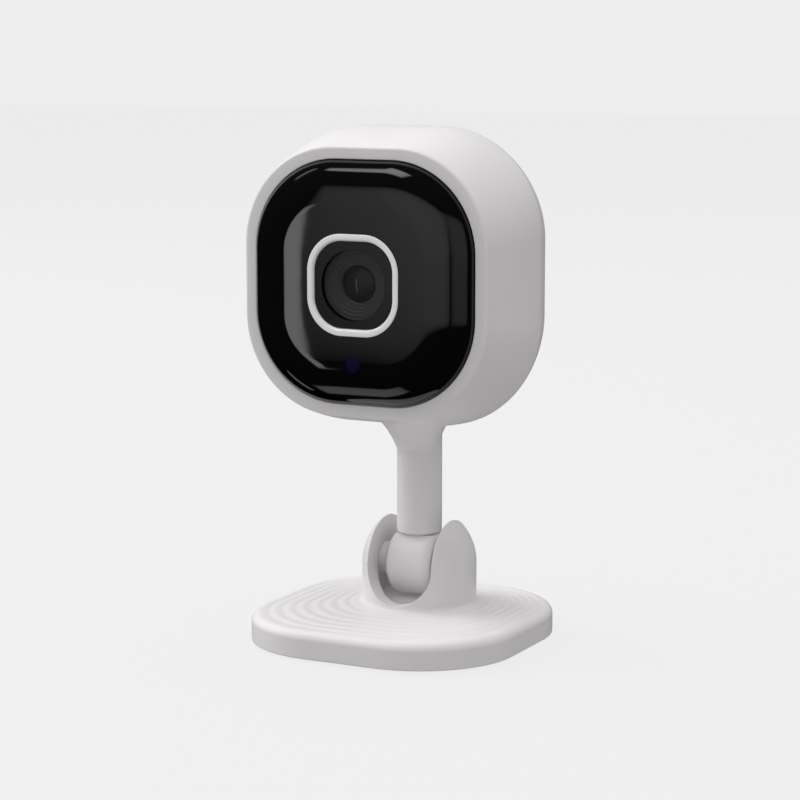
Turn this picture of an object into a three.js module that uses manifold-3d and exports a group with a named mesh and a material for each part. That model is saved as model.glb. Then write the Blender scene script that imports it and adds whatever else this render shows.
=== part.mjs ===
// A small indoor security camera: a rounded-square head on a short stem, which swivels on a
// tongue and tilts in the notched cup of a weighted stand.
// Millimetres, +Z up, front towards -Y. The origin is on the underside, below the stem's axis.
import * as THREE from "three";
import { mergeVertices } from "three/addons/utils/BufferGeometryUtils.js";
import Module from "manifold-3d";

const wasm = await Module();
wasm.setup();

// ---------------------------------------------------------------- driving sizes
// clearances
const FIT = 0.1; // between pieces that seat on each other
const RUN = 0.25; // between pieces that move past each other

// stand plate
const PLATE_HALF = 24.12;
const PLATE_CORNER = 17.44;
const PLATE_TOP = 5.12;
const PLATE_FORWARD = 6.42; // plate centre, in front of the stem's axis
const PLATE_EDGE = 1.5; // rounding of the top edge
const PLATE_LIFT = 0.4; // how far the pad stands below the plate
const PLATE_SKIN = 1.65; // moulding over the underside's pocket
const PLATE_RIM = 2.9; // wall round the underside's pocket
const PAD_THICK = 0.9;
const COVER_THICK = 1.3;

// knuckle cup
const CUP_RADIUS = 10.13;
const CUP_WALL = 2.7;
const CUP_FOOT = 0.9; // fillet where the cup meets the plate
const HINGE_Z = 12.1;
const NOTCH_HALF = 6.2;
const REAR_WALL_ABOVE_HINGE = 1.5;
const SCREW_BOSS_RADIUS = 3.0; // inside the left ear
const NUT_BOSS_RADIUS = 4.3; // inside the right ear, round the nut

// tilt joint
const TONGUE_RADIUS = 5.8;
const TONGUE_HALF = 4.3;
const TONGUE_EDGE = 1.5;
const WASHER_THICK = 0.7;
const HINGE_SCREW_RADIUS = 1.5;
const HINGE_HEAD_RADIUS = 2.75;
const HINGE_HEAD_THICK = 1.8;
const HINGE_HEAD_SINK = 0.6; // its face below the ear's outside
const NUT_FLATS = 5.5;
const NUT_THICK = 1.8;

// swivel joint and stem
const STEM_RADIUS = 3.98;
const COLLAR_Z = 17.65;
const SWIVEL_GAP = 0.3; // between the tongue and the stem, filled by the washer
const NECK_SET_IN = 0.8; // neck's side behind the stem's
const SPIGOT_RADIUS = 2.0;
const SPIGOT_HIGH = 6.4;
const SHOULDER_THICK = 1.2;
const SWIVEL_SCREW_RADIUS = 1.0;
const SWIVEL_THREAD_FLOOR = 0.6; // left under the screw's hole in the spigot
const SWIVEL_HEAD_THICK = 1.3;
const SLOT_HALF = 0.3;
const SLOT_DEEP = 0.6;
const STEM_BORE = 2.6; // way down the stem for the swivel screw
const FLARE_RADIUS = 8.58; // outer edge of the hollow curve under the head
const FLARE_REACH = FLARE_RADIUS - STEM_RADIUS;
const FLARE_HIGH = 6;
const FLARE_POWER = 0.6; // 1 would be an ellipse; less is nearer a cone
const FLARE_GAP = 0.4; // between the flare's edge and the head
const STEM_THREAD_RADIUS = 3.75;
const STEM_NUT_RADIUS = 5.2;
const STEM_NUT_THICK = 2.5;
const THREAD_PROUD = 0.6; // stem's end above its nut

// head shell; "forward" is measured from the stem's axis towards the front
const HEAD_Z = 63.53;
const HEAD_RISE = 0.2; // the widest section sits this much above the front's centre
const RIM_FORWARD = 21.09;
const RIM_HALF = 22.27;
const RIM_FLAT = 5.9; // half-length of each straight side
const RIM_EDGE = 0.6;
const FRONT_POWER = 1.63; // how late the taper towards the rim sets in
const WIDEST_FORWARD = 5.9;
const WIDEST_HALF = 25.64;
const WIDEST_FLAT = 7.26;
const BACK_FORWARD = -10;
const BACK_HALF = 17.45;
const BACK_FLAT = 5.29;
const BACK_POWER = 1.29; // 1 would be a straight taper to the back, 2 an ellipse
const SEAM_FORWARD = -5.5; // where the back cover meets the housing
const CAVITY_HALF = 21.4; // at its front
const CAVITY_BACK_HALF = 19.5; // at the seam
const CAVITY_FLAT = 4.9;
const FRONT_WALL = 1.5;
const PANEL_SEAT = 2.1; // depth of the seat below the rim
const PANEL_OPENING_HALF = 18.9;
const BOSS_OFFSET = 11.6;
const BOSS_RADIUS = 2.6;
const BOSS_RIB = 2;
const RIB_SINK = 0.4; // rib's start inside the boss
const RIB_BITE = 0.7; // rib's end inside the wall

// front panel and lens
const PANEL_HALF = 20.54;
const PANEL_FLAT = 5.2;
const PANEL_RECESS = 0.18; // panel's edge below the rim
const PANEL_PROUD = 3.9; // its middle in front of the rim
const PANEL_WALL = 1.6;
const PLATEAU_HALF = 13;
const SWELL_POWER = 0.9; // fullness of the panel's edge
const GASKET_THICK = 0.3;
const RING_HALF = 8.52;
const RING_FLAT = 2.15;
const RING_BAND = 1.2;
const RING_FLANGE = 0.6;
const RING_SLEEVE = 0.6; // sleeve set in from the flange
const RING_DEEP = 2.1;
const RING_PROUD = 0.15;
const RING_LIP = 0.7; // lip behind the window
const WINDOW_SINK = 0.35; // window's face below the ring's
const BARREL_GAP = 0.35;
const WINDOW_THICK = 0.8;
const BARREL_RADIUS = 6;
const BARREL_LONG = 12.5;
const ELEMENT_RADIUS = 4.5;
const ELEMENT_EDGE = 0.7;
const ELEMENT_DOME = 0.8;
const ELEMENT_SEAT = 1.6; // depth of the glass's seat in the barrel
const APERTURE_RADIUS = 3;
const HOLDER_RADIUS = 7.3;
const HOLDER_HALF = 8.5;
const HOLDER_FLANGE_HALF = 9.5;
const HOLDER_LEAD = 1.6; // holder's front before the LED board
const FOCUS_ROOM = 0.3; // behind the barrel, for focusing
const SENSOR_ROOM_HALF = 4.4;
const HOLDER_HOLE = 0.8;

// boards and what they carry
const BOARD_THICK = 1.2;
const LED_BOARD_HALF = 20.2;
const LED_ACROSS = 12.2;
const LED_ABOVE = 5.6;
const LED_RADIUS = 2.5;
const LED_HIGH = 3.2;
const STATUS_BELOW = 13.27;
const STATUS_LED_HALF = 0.8;
const STATUS_LED_HIGH = 0.9;
const PIPE_RADIUS = 1.35;
const SENSOR_BOARD_HALF = 9.5;
const SENSOR_BOARD_Y = -8.6;
const SENSOR_BOARD_THICK = 1;
const SENSOR_HALF = 3.5;
const SENSOR_HIGH = 0.9;
const SENSOR_SCREW_HEAD = 1.3;
const SENSOR_SCREW_RADIUS = 0.7;
const SENSOR_SCREW_DEEP = 2.5;
const MAIN_BOARD_HALF = 19.5;
const MAIN_BOARD_Y = 0.4;
const BATTERY = [15, 4, 20];
const SHIELD_HIGH = 1.5;
const CELL_GAP = 0.2;
const CABLE_HALF = 3;
const CABLE_THICK = 0.3;
const CABLE_BELOW_CELL = 0.9;
const ANTENNA_THICK = 0.4;
const ANTENNA_GAP = 0.8; // below the cavity's roof
const SPEAKER_RADIUS = 8;
const SPEAKER_DEEP = 4.1;
const SPEAKER_HOLE = 0.7;
const SPEAKER_RING = 4;
const SPEAKER_COUNT = 8; // holes in the ring
const MIC_HOLE = 0.6;
const MIC_RADIUS = 2;
const MIC_DEEP = 1.5;
const USB = [9, 8, 3.2];
const USB_WALL = 0.4;
const USB_BACK_WALL = 1.5;
const CARD = [15, 0.9, 11];
const CARD_ABOVE_BOARD = 0.5;
const BUTTON_RADIUS = 1.6;
const BUTTON_TRAVEL = 0.5;
const BUTTON_FLANGE = 0.8;
const BUTTON_PIN = 0.9;
const BUTTON_SINK = 0.1; // its face below the cover's
const SWITCH_HIGH = 3.4;
const SWITCH_WELL = 1.8;
const COVER_SKIN = 2;
const COVER_LIP = 1.9;
const LIP_WALL = 1.5;
const COVER_TUBE_RADIUS = 2.4;
const CASE_SCREW_RADIUS = 1.0;
const CASE_HEAD_RADIUS = 1.9;
const CASE_HEAD_THICK = 1.2;
const CASE_SINK = 0.15; // head's face below the cover's
const CROSS_LONG = 1.3;
const CROSS_HALF = 0.3;
const CROSS_DEEP = 0.7;
const STAND_HEAD_THICK = 0.7;
const STAND_TIP_BELOW_HINGE = 4.6;
const TIP_ROOM = 0.4; // how much deeper a blind screw hole is than its screw

const RIM_Y = -RIM_FORWARD;
const BACK_Y = -BACK_FORWARD;
const SEAM_Y = -SEAM_FORWARD;
const LEDGE_Y = RIM_Y + PANEL_SEAT;
const WALL_BACK_Y = LEDGE_Y + FRONT_WALL;
const PLATEAU_Y = RIM_Y - PANEL_PROUD;
const MAIN_BACK_Y = MAIN_BOARD_Y + BOARD_THICK;
const ROUND = 20;
const ARC_WAIST = 1 - Math.SQRT1_2; // how far a quarter arc's middle stands off its corner

// ---------------------------------------------------------------- materials
const finish = (color, roughness, metalness = 0) =>
  new THREE.MeshStandardMaterial({ color, roughness, metalness });
const WHITE = finish(0xe9e7e6, 0.45);
const BLACK = finish(0x08080a, 0.08);
const DARK = finish(0x1b1b1e, 0.5);
const SILICONE = finish(0x3a3a3c, 0.8);
const STEEL = finish(0xa8aaad, 0.3, 1);
const BOARD = finish(0x14502c, 0.5);
const GLASS = finish(0x20242c, 0.03);
const NYLON = finish(0xd8d6cf, 0.5);
const BLUE = finish(0x14146e, 0.15);
const BRASS = finish(0xb89a55, 0.35, 1);

// ---------------------------------------------------------------- solids
// Welds a geometry's vertices and drops triangles that the welding flattens.
function weld(geometry) {
  const bare = geometry.clone();
  bare.deleteAttribute("normal");
  bare.deleteAttribute("uv");
  const merged = mergeVertices(bare, 1e-4);
  const index = merged.index.array;
  const kept = [];
  for (let i = 0; i < index.length; i += 3) {
    const [a, b, c] = [index[i], index[i + 1], index[i + 2]];
    if (a !== b && b !== c && a !== c) kept.push(a, b, c);
  }
  merged.setIndex(kept);
  return merged;
}

function toManifold(geometry) {
  const welded = weld(geometry);
  return new wasm.Manifold(new wasm.Mesh({
    numProp: 3,
    vertProperties: new Float32Array(welded.attributes.position.array),
    triVerts: new Uint32Array(welded.index.array),
  }));
}

function fromManifold(body) {
  const mesh = body.getMesh();
  const geometry = new THREE.BufferGeometry();
  geometry.setAttribute("position", new THREE.BufferAttribute(mesh.vertProperties, 3));
  geometry.setIndex(new THREE.BufferAttribute(mesh.triVerts, 1));
  return geometry;
}

const cut = (base, ...tools) =>
  fromManifold(tools.reduce((body, tool) => body.subtract(toManifold(tool)), toManifold(base)));
const join = (...pieces) =>
  fromManifold(pieces.map(toManifold).reduce((body, piece) => body.add(piece)));
const common = (a, b) => fromManifold(toManifold(a).intersect(toManifold(b)));

// Round bars along each axis, from one end to the other.
function barZ(radius, z0, z1, x = 0, y = 0, sides = ROUND) {
  const bar = new THREE.CylinderGeometry(radius, radius, z1 - z0, sides);
  return bar.rotateX(Math.PI / 2).translate(x, y, (z0 + z1) / 2);
}
function barY(radius, y0, y1, x = 0, z = 0, sides = ROUND) {
  const bar = new THREE.CylinderGeometry(radius, radius, y1 - y0, sides);
  return bar.translate(x, (y0 + y1) / 2, HEAD_Z + z);
}
function barX(radius, x0, x1, sides = ROUND) {
  const bar = new THREE.CylinderGeometry(radius, radius, x1 - x0, sides);
  return bar.rotateZ(Math.PI / 2).translate((x0 + x1) / 2, 0, HINGE_Z);
}

// A block between two corners; inBlock measures z from the head's centre.
function block([x0, y0, z0], [x1, y1, z1]) {
  const box = new THREE.BoxGeometry(x1 - x0, y1 - y0, z1 - z0);
  return box.translate((x0 + x1) / 2, (y0 + y1) / 2, (z0 + z1) / 2);
}
const inBlock = ([x0, y0, z0], [x1, y1, z1]) =>
  block([x0, y0, HEAD_Z + z0], [x1, y1, HEAD_Z + z1]);

// A closed solid through rounded-square sections stacked along +Z.
// Each section is { at, half, flat, drop }: flat is the half-length of a straight side.
function stack(sections, perCorner = 6) {
  const count = 4 * (perCorner + 1);
  const points = [];
  for (const { at, half, flat, drop = 0 } of sections) {
    for (let corner = 0; corner < 4; corner += 1) {
      for (let step = 0; step <= perCorner; step += 1) {
        const angle = (corner + step / perCorner) * (Math.PI / 2);
        const quarter = (corner + 0.5) * (Math.PI / 2);
        const cx = Math.sign(Math.cos(quarter)) * flat;
        const cy = Math.sign(Math.sin(quarter)) * flat;
        const reach = half - flat;
        points.push(cx + reach * Math.cos(angle), cy + reach * Math.sin(angle) - drop, at);
      }
    }
  }
  const first = sections[0];
  const last = sections[sections.length - 1];
  points.push(0, -(first.drop ?? 0), first.at, 0, -(last.drop ?? 0), last.at);
  const faces = [];
  for (let ring = 0; ring < sections.length - 1; ring += 1) {
    for (let i = 0; i < count; i += 1) {
      const a = ring * count + i;
      const b = ring * count + ((i + 1) % count);
      faces.push(a, b, b + count, a, b + count, a + count);
    }
  }
  const floor = sections.length * count;
  const roof = (sections.length - 1) * count;
  for (let i = 0; i < count; i += 1) {
    const next = (i + 1) % count;
    faces.push(floor, next, i, floor + 1, roof + i, roof + next);
  }
  const geometry = new THREE.BufferGeometry();
  geometry.setAttribute("position", new THREE.Float32BufferAttribute(points, 3));
  geometry.setIndex(faces);
  return geometry;
}

// The same in the head's frame, where "at" is how far forward of the stem's axis it lies.
const headStack = (sections, perCorner) =>
  stack(sections, perCorner).rotateX(Math.PI / 2).translate(0, 0, HEAD_Z);
const headSlab = (half, flat, y0, y1, perCorner) =>
  headStack([{ at: -y1, half, flat }, { at: -y0, half, flat }], perCorner);
const plateSlab = (half, flat, z0, z1) =>
  stack([{ at: z0, half, flat }, { at: z1, half, flat }]).translate(0, -PLATE_FORWARD, 0);

// ---------------------------------------------------------------- the head's outline
// Half-width of the head at a distance forward: a taper in front of the widest section,
// an elliptical rounding behind it.
function headHalf(forward) {
  if (forward > WIDEST_FORWARD) {
    const along = (forward - WIDEST_FORWARD) / (RIM_FORWARD - RIM_EDGE - WIDEST_FORWARD);
    return WIDEST_HALF - (WIDEST_HALF - RIM_HALF - RIM_EDGE) * along ** FRONT_POWER;
  }
  const along = (WIDEST_FORWARD - forward) / (WIDEST_FORWARD - BACK_FORWARD);
  const left = Math.max(0, 1 - along ** BACK_POWER) ** (1 / BACK_POWER);
  return BACK_HALF + (WIDEST_HALF - BACK_HALF) * left;
}

function headSection(forward) {
  const ahead = Math.max(0, (forward - WIDEST_FORWARD) / (RIM_FORWARD - WIDEST_FORWARD));
  const behind = Math.max(0, (WIDEST_FORWARD - forward) / (WIDEST_FORWARD - BACK_FORWARD));
  return {
    at: forward,
    half: headHalf(forward),
    flat: WIDEST_FLAT + (RIM_FLAT - WIDEST_FLAT) * ahead + (BACK_FLAT - WIDEST_FLAT) * behind,
    drop: -HEAD_RISE * (1 - ahead),
  };
}

// Half-width of the cavity, which narrows evenly from the front wall to the seam.
function cavityHalf(forward) {
  const along = (forward - SEAM_FORWARD) / (-WALL_BACK_Y - SEAM_FORWARD);
  return CAVITY_BACK_HALF + (CAVITY_HALF - CAVITY_BACK_HALF) * along;
}

const cavitySection = (forward) =>
  ({ at: forward, half: cavityHalf(forward), flat: CAVITY_FLAT });

// Height of the head's underside above a point beside the stem.
function underside(x, y) {
  const { half, flat, drop } = headSection(-y);
  const side = Math.max(0, Math.abs(x) - flat);
  const corner = half - flat;
  return HEAD_Z - drop - flat - Math.sqrt(corner * corner - side * side);
}

// ---------------------------------------------------------------- stand
const POCKET_HALF = PLATE_HALF - PLATE_RIM;
const POCKET_FLAT = PLATE_HALF - PLATE_CORNER;
const POCKET_TOP = PLATE_TOP - PLATE_SKIN;
const COVER_BOTTOM = PAD_THICK + FIT / 2;
const COVER_TOP = COVER_BOTTOM + COVER_THICK;
const CUP_INSIDE = CUP_RADIUS - CUP_WALL;
const WASHER_INNER_X = TONGUE_HALF + 0.15;
const EAR_INNER_X = WASHER_INNER_X + WASHER_THICK + FIT / 2;
const HINGE_SEAT_X = -CUP_RADIUS + HINGE_HEAD_SINK + HINGE_HEAD_THICK;
const NUT_SEAT_X = EAR_INNER_X + NUT_THICK + 2 * FIT;
const STAND_SCREWS = [[-1, 0], [1, 0], [0, 1]].map((way) =>
  way.map((part) => part * (CUP_RADIUS - CUP_WALL / 2)));

// The notch in the cup's front, extruded along Y: straight sides over a round bottom.
function frontNotch() {
  const shape = new THREE.Shape();
  shape.moveTo(NOTCH_HALF, 3 * HINGE_Z);
  shape.lineTo(-NOTCH_HALF, 3 * HINGE_Z);
  shape.lineTo(-NOTCH_HALF, HINGE_Z);
  shape.absarc(0, HINGE_Z, NOTCH_HALF, Math.PI, 2 * Math.PI, false);
  const depth = 2 * CUP_RADIUS;
  const options = { depth, bevelEnabled: false, curveSegments: 10 };
  return new THREE.ExtrudeGeometry(shape, options).rotateX(Math.PI / 2);
}

// The shallower notch in its back.
const rearNotch = () => block(
  [-NOTCH_HALF, -1, HINGE_Z + REAR_WALL_ABOVE_HINGE],
  [NOTCH_HALF, 2 * CUP_RADIUS, 3 * HINGE_Z],
);

function cupSolid() {
  const arc = [];
  for (let step = 1; step <= 6; step += 1) {
    const angle = (step / 6) * (Math.PI / 2);
    const height = HINGE_Z + CUP_RADIUS * Math.sin(angle);
    arc.push(new THREE.Vector2(step === 6 ? 0 : CUP_RADIUS * Math.cos(angle), height));
  }
  const profile = [
    new THREE.Vector2(0, POCKET_TOP),
    new THREE.Vector2(CUP_RADIUS + CUP_FOOT, POCKET_TOP),
    new THREE.Vector2(CUP_RADIUS + CUP_FOOT, PLATE_TOP),
    new THREE.Vector2(CUP_RADIUS + CUP_FOOT * ARC_WAIST, PLATE_TOP + CUP_FOOT * ARC_WAIST),
    new THREE.Vector2(CUP_RADIUS, PLATE_TOP + CUP_FOOT),
    new THREE.Vector2(CUP_RADIUS, HINGE_Z),
    ...arc,
  ];
  return new THREE.LatheGeometry(profile, 28).rotateX(Math.PI / 2);
}

function cupHollow() {
  const floor = HINGE_Z - NOTCH_HALF;
  const ball = new THREE.SphereGeometry(CUP_INSIDE, 20, 12).translate(0, 0, HINGE_Z);
  const well = barZ(CUP_INSIDE, floor, HINGE_Z, 0, 0, 20);
  const aboveFloor = block([-20, -20, floor], [20, 20, 40]);
  return common(join(ball, well), aboveFloor);
}

function hexBarX(flats, x0, x1) {
  return barX(flats / 2 / Math.cos(Math.PI / 6), x0, x1, 6);
}

function standBase() {
  const flat = PLATE_HALF - PLATE_CORNER;
  const small = 0.5;
  const top = (turn) => ({
    at: PLATE_TOP - PLATE_EDGE * (1 - Math.sin(turn)),
    half: PLATE_HALF - PLATE_EDGE * (1 - Math.cos(turn)),
    flat,
  });
  const plate = stack([
    { at: PLATE_LIFT, half: PLATE_HALF - small, flat },
    { at: PLATE_LIFT + small, half: PLATE_HALF, flat },
    top(0), top(Math.PI / 6), top(Math.PI / 3), top(Math.PI / 2),
  ]).translate(0, -PLATE_FORWARD, 0);
  const notched = cut(join(plate, cupSolid()), cupHollow(), frontNotch(), rearNotch());
  const reach = CUP_RADIUS - CUP_WALL / 2;
  const ears = join(
    notched,
    barX(SCREW_BOSS_RADIUS, -reach, -EAR_INNER_X),
    barX(NUT_BOSS_RADIUS, EAR_INNER_X, reach),
  );
  const screwHole = HINGE_SCREW_RADIUS + FIT;
  return cut(
    ears,
    plateSlab(POCKET_HALF, POCKET_FLAT, PLATE_LIFT - 1, POCKET_TOP),
    barX(screwHole, -CUP_RADIUS, NUT_SEAT_X + FIT),
    barX(HINGE_HEAD_RADIUS + FIT, -2 * CUP_RADIUS, HINGE_SEAT_X),
    hexBarX(NUT_FLATS + 2 * FIT, 0, NUT_SEAT_X),
    ...STAND_SCREWS.map(([x, y]) =>
      barZ(CASE_SCREW_RADIUS + FIT / 2, 0, HINGE_Z - STAND_TIP_BELOW_HINGE + TIP_ROOM, x, y, 12)),
  );
}

const padSolid = () => plateSlab(POCKET_HALF - 2 * FIT, POCKET_FLAT, 0, PAD_THICK);

function standCover() {
  const slab = plateSlab(POCKET_HALF - FIT, POCKET_FLAT, COVER_BOTTOM, COVER_TOP);
  const holes = STAND_SCREWS.flatMap(([x, y]) => [
    barZ(CASE_SCREW_RADIUS + FIT, 0, 5, x, y, 12),
    barZ(CASE_HEAD_RADIUS + FIT, 0, COVER_BOTTOM + STAND_HEAD_THICK + FIT, x, y, 16),
  ]);
  return cut(slab, ...holes);
}

function standWeight() {
  const half = POCKET_HALF - 4 * FIT;
  const slab = plateSlab(half, POCKET_FLAT, COVER_TOP + FIT / 2, POCKET_TOP - FIT / 2);
  return cut(slab, ...STAND_SCREWS.map(([x, y]) => barZ(CASE_SCREW_RADIUS + FIT, 0, 5, x, y, 12)));
}

function standScrew([x, y]) {
  const headTop = COVER_BOTTOM + STAND_HEAD_THICK;
  return join(
    barZ(CASE_HEAD_RADIUS, COVER_BOTTOM, headTop, x, y, 16),
    barZ(CASE_SCREW_RADIUS, headTop - FIT, HINGE_Z - STAND_TIP_BELOW_HINGE, x, y, 12),
  );
}

// ---------------------------------------------------------------- tilt joint
function hingeScrew() {
  const head = barX(HINGE_HEAD_RADIUS, HINGE_SEAT_X - HINGE_HEAD_THICK, HINGE_SEAT_X - FIT / 2);
  const shank = barX(HINGE_SCREW_RADIUS, HINGE_SEAT_X - 2 * FIT, NUT_SEAT_X - FIT);
  const drive = hexBarX(2, -2 * CUP_RADIUS, HINGE_SEAT_X - HINGE_HEAD_THICK + 1.1);
  return cut(join(head, shank), drive);
}

function hingeNut() {
  const body = hexBarX(NUT_FLATS, NUT_SEAT_X - FIT - NUT_THICK, NUT_SEAT_X - FIT);
  return cut(body, barX(HINGE_SCREW_RADIUS + FIT / 2, 0, 2 * CUP_RADIUS));
}

function frictionWasher(side) {
  const ends = [side * WASHER_INNER_X, side * (WASHER_INNER_X + WASHER_THICK)].sort((a, b) => a - b);
  const disc = barX(side < 0 ? SCREW_BOSS_RADIUS : NUT_BOSS_RADIUS, ...ends);
  return cut(disc, barX(HINGE_SCREW_RADIUS + FIT, -2 * CUP_RADIUS, 2 * CUP_RADIUS));
}

const SPIGOT_TOP = COLLAR_Z + SPIGOT_HIGH;
const NECK_TOP = COLLAR_Z - SWIVEL_GAP;

function tiltTongue() {
  const profile = [new THREE.Vector2(0, -TONGUE_HALF)];
  for (let step = 0; step <= 3; step += 1) {
    const turn = (step / 3) * (Math.PI / 2);
    profile.push(new THREE.Vector2(
      TONGUE_RADIUS - TONGUE_EDGE * (1 - Math.sin(turn)),
      -TONGUE_HALF + TONGUE_EDGE * (1 - Math.cos(turn)),
    ));
  }
  const mirrored = profile.map(({ x, y }) => new THREE.Vector2(x, -y)).reverse();
  const disc = new THREE.LatheGeometry([...profile, ...mirrored], 24)
    .rotateZ(Math.PI / 2).translate(0, 0, HINGE_Z);
  const belowCollar = block([-10, -10, 0], [10, 10, NECK_TOP]);
  const neck = barZ(STEM_RADIUS - NECK_SET_IN, HINGE_Z + 2, NECK_TOP);
  const spigot = barZ(SPIGOT_RADIUS, NECK_TOP - 1, SPIGOT_TOP);
  const threadFloor = SPIGOT_TOP - SPIGOT_HIGH + SWIVEL_THREAD_FLOOR;
  const thread = barZ(SWIVEL_SCREW_RADIUS + FIT / 2, threadFloor, SPIGOT_TOP + 1, 0, 0, 12);
  const bore = barX(HINGE_SCREW_RADIUS + FIT, -2 * TONGUE_HALF, 2 * TONGUE_HALF);
  return cut(join(common(disc, belowCollar), neck, spigot), thread, bore);
}

// ---------------------------------------------------------------- swivel joint and stem
const SHOULDER_BOTTOM = SPIGOT_TOP + RUN;
const SHOULDER_TOP = SHOULDER_BOTTOM + SHOULDER_THICK;
const SPRING_THICK = 0.5;
// The nut's flat seat is as low as the sloping floor is at the nut's front edge.
const HEAD_FLOOR_Z = HEAD_Z - cavityHalf(STEM_NUT_RADIUS + RUN);
const STEM_NUT_TOP = HEAD_FLOOR_Z + FIT + STEM_NUT_THICK;

const ringZ = (outer, inner, z0, z1) => cut(barZ(outer, z0, z1), barZ(inner, z0 - 1, z1 + 1));

const swivelWasher = () =>
  ringZ(STEM_RADIUS - NECK_SET_IN, SPIGOT_RADIUS + FIT, NECK_TOP + FIT / 2, COLLAR_Z - FIT / 2);
const swivelSpring = () => ringZ(
  STEM_BORE - RUN, SWIVEL_SCREW_RADIUS + 2 * FIT, SHOULDER_TOP + FIT / 2, SHOULDER_TOP + SPRING_THICK,
);

function swivelScrew() {
  const seat = SHOULDER_TOP + SPRING_THICK + FIT / 2;
  const head = barZ(STEM_BORE - 2 * RUN, seat, seat + SWIVEL_HEAD_THICK);
  const tip = SPIGOT_TOP - SPIGOT_HIGH + SWIVEL_THREAD_FLOOR + TIP_ROOM;
  const shank = barZ(SWIVEL_SCREW_RADIUS, tip, seat + FIT, 0, 0, 12);
  const slotFloor = seat + SWIVEL_HEAD_THICK - SLOT_DEEP;
  const slot = block([-STEM_BORE, -SLOT_HALF, slotFloor], [STEM_BORE, SLOT_HALF, seat + 3]);
  return cut(join(head, shank), slot);
}

// The stem's outside: a cylinder that curves out to meet the head's underside all round.
function stemOutside() {
  const count = 24;
  const rings = 5;
  const points = [];
  const reach = FLARE_RADIUS;
  for (let ring = -1; ring <= rings; ring += 1) {
    const turn = (Math.max(0, ring) / rings) * (Math.PI / 2);
    for (let i = 0; i < count; i += 1) {
      const angle = (i / count) * 2 * Math.PI;
      const radius = STEM_RADIUS + FLARE_REACH * (1 - Math.cos(turn)) ** FLARE_POWER;
      const seat = underside(reach * Math.cos(angle), reach * Math.sin(angle)) - FLARE_GAP;
      const z = ring < 0 ? COLLAR_Z : seat - FLARE_HIGH * (1 - Math.sin(turn));
      points.push(radius * Math.cos(angle), radius * Math.sin(angle), z);
    }
  }
  const inner = STEM_RADIUS - FIT;
  for (let i = 0; i < count; i += 1) {
    const angle = (i / count) * 2 * Math.PI;
    const [x, y] = [inner * Math.cos(angle), inner * Math.sin(angle)];
    points.push(x, y, underside(x, y) - FLARE_GAP);
  }
  points.push(0, 0, COLLAR_Z, 0, 0, underside(0, 0) - FLARE_GAP);
  const faces = [];
  for (let ring = 0; ring < rings + 2; ring += 1) {
    for (let i = 0; i < count; i += 1) {
      const a = ring * count + i;
      const b = ring * count + ((i + 1) % count);
      faces.push(a, b, b + count, a, b + count, a + count);
    }
  }
  const floor = (rings + 3) * count;
  const roof = (rings + 2) * count;
  for (let i = 0; i < count; i += 1) {
    const next = (i + 1) % count;
    faces.push(floor, next, i, floor + 1, roof + i, roof + next);
  }
  const geometry = new THREE.BufferGeometry();
  geometry.setAttribute("position", new THREE.Float32BufferAttribute(points, 3));
  geometry.setIndex(faces);
  return geometry;
}

function stemSolid() {
  const through = barZ(STEM_THREAD_RADIUS - FIT, underside(0, 0) - 2, STEM_NUT_TOP + THREAD_PROUD);
  return cut(
    join(stemOutside(), through),
    barZ(SPIGOT_RADIUS + FIT, 0, SHOULDER_BOTTOM),
    barZ(SWIVEL_SCREW_RADIUS + 2 * FIT, 0, SHOULDER_TOP + 1, 0, 0, 12),
    barZ(STEM_BORE, SHOULDER_TOP, STEM_NUT_TOP + 5),
  );
}

const stemNut = () => {
  const body = barZ(STEM_NUT_RADIUS, HEAD_FLOOR_Z + FIT, STEM_NUT_TOP, 0, 0, 8);
  return cut(body, barZ(STEM_THREAD_RADIUS, 0, 2 * STEM_NUT_TOP));
};

// ---------------------------------------------------------------- housing and back cover
const CORNERS = [[-1, -1], [1, -1], [-1, 1], [1, 1]].map(([x, z]) => [x * BOSS_OFFSET, z * BOSS_OFFSET]);

function housingOutside(back) {
  const sections = [];
  for (let step = 0; step <= 4; step += 1) {
    const forward = -back + ((WIDEST_FORWARD + back) * step) / 4;
    sections.push(headSection(forward));
  }
  for (let step = 1; step <= 3; step += 1) {
    const span = RIM_FORWARD - RIM_EDGE - WIDEST_FORWARD;
    sections.push(headSection(WIDEST_FORWARD + (span * step) / 3));
  }
  for (let step = 1; step <= 2; step += 1) {
    const turn = (step / 2) * (Math.PI / 2);
    sections.push({
      at: RIM_FORWARD - RIM_EDGE * (1 - Math.sin(turn)),
      half: RIM_HALF + RIM_EDGE * Math.cos(turn),
      flat: RIM_FLAT,
    });
  }
  return headStack(sections);
}

// The corner bosses with their ribs, grown by a clearance where something goes round them.
function cornerBosses(y0, y1, grow) {
  return CORNERS.map(([x, z]) => {
    const start = Math.hypot(x, z) + BOSS_RADIUS - RIB_SINK;
    const end = CAVITY_FLAT * Math.SQRT2 + CAVITY_HALF - CAVITY_FLAT + RIB_BITE;
    const rib = new THREE.BoxGeometry(end - start, y1 - y0, BOSS_RIB + 2 * grow);
    const outward = Math.atan2(z, x);
    const centre = (start + end) / 2;
    rib.rotateY(-outward);
    rib.translate(centre * Math.cos(outward), (y0 + y1) / 2, HEAD_Z + centre * Math.sin(outward));
    return join(barY(BOSS_RADIUS + grow, y0, y1, x, z, 16), rib);
  });
}

const CARD_Y = MAIN_BACK_Y + CARD_ABOVE_BOARD;
const CARD_OUT_X = -(headHalf(-CARD_Y - CARD[1]) - 0.1);
const SLOT_GAP = 0.25;
const cardWay = (x0, x1, gap) => inBlock(
  [x0, CARD_Y - gap, -CARD[2] / 2 - gap],
  [x1, CARD_Y + CARD[1] + gap, CARD[2] / 2 + gap],
);

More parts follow.
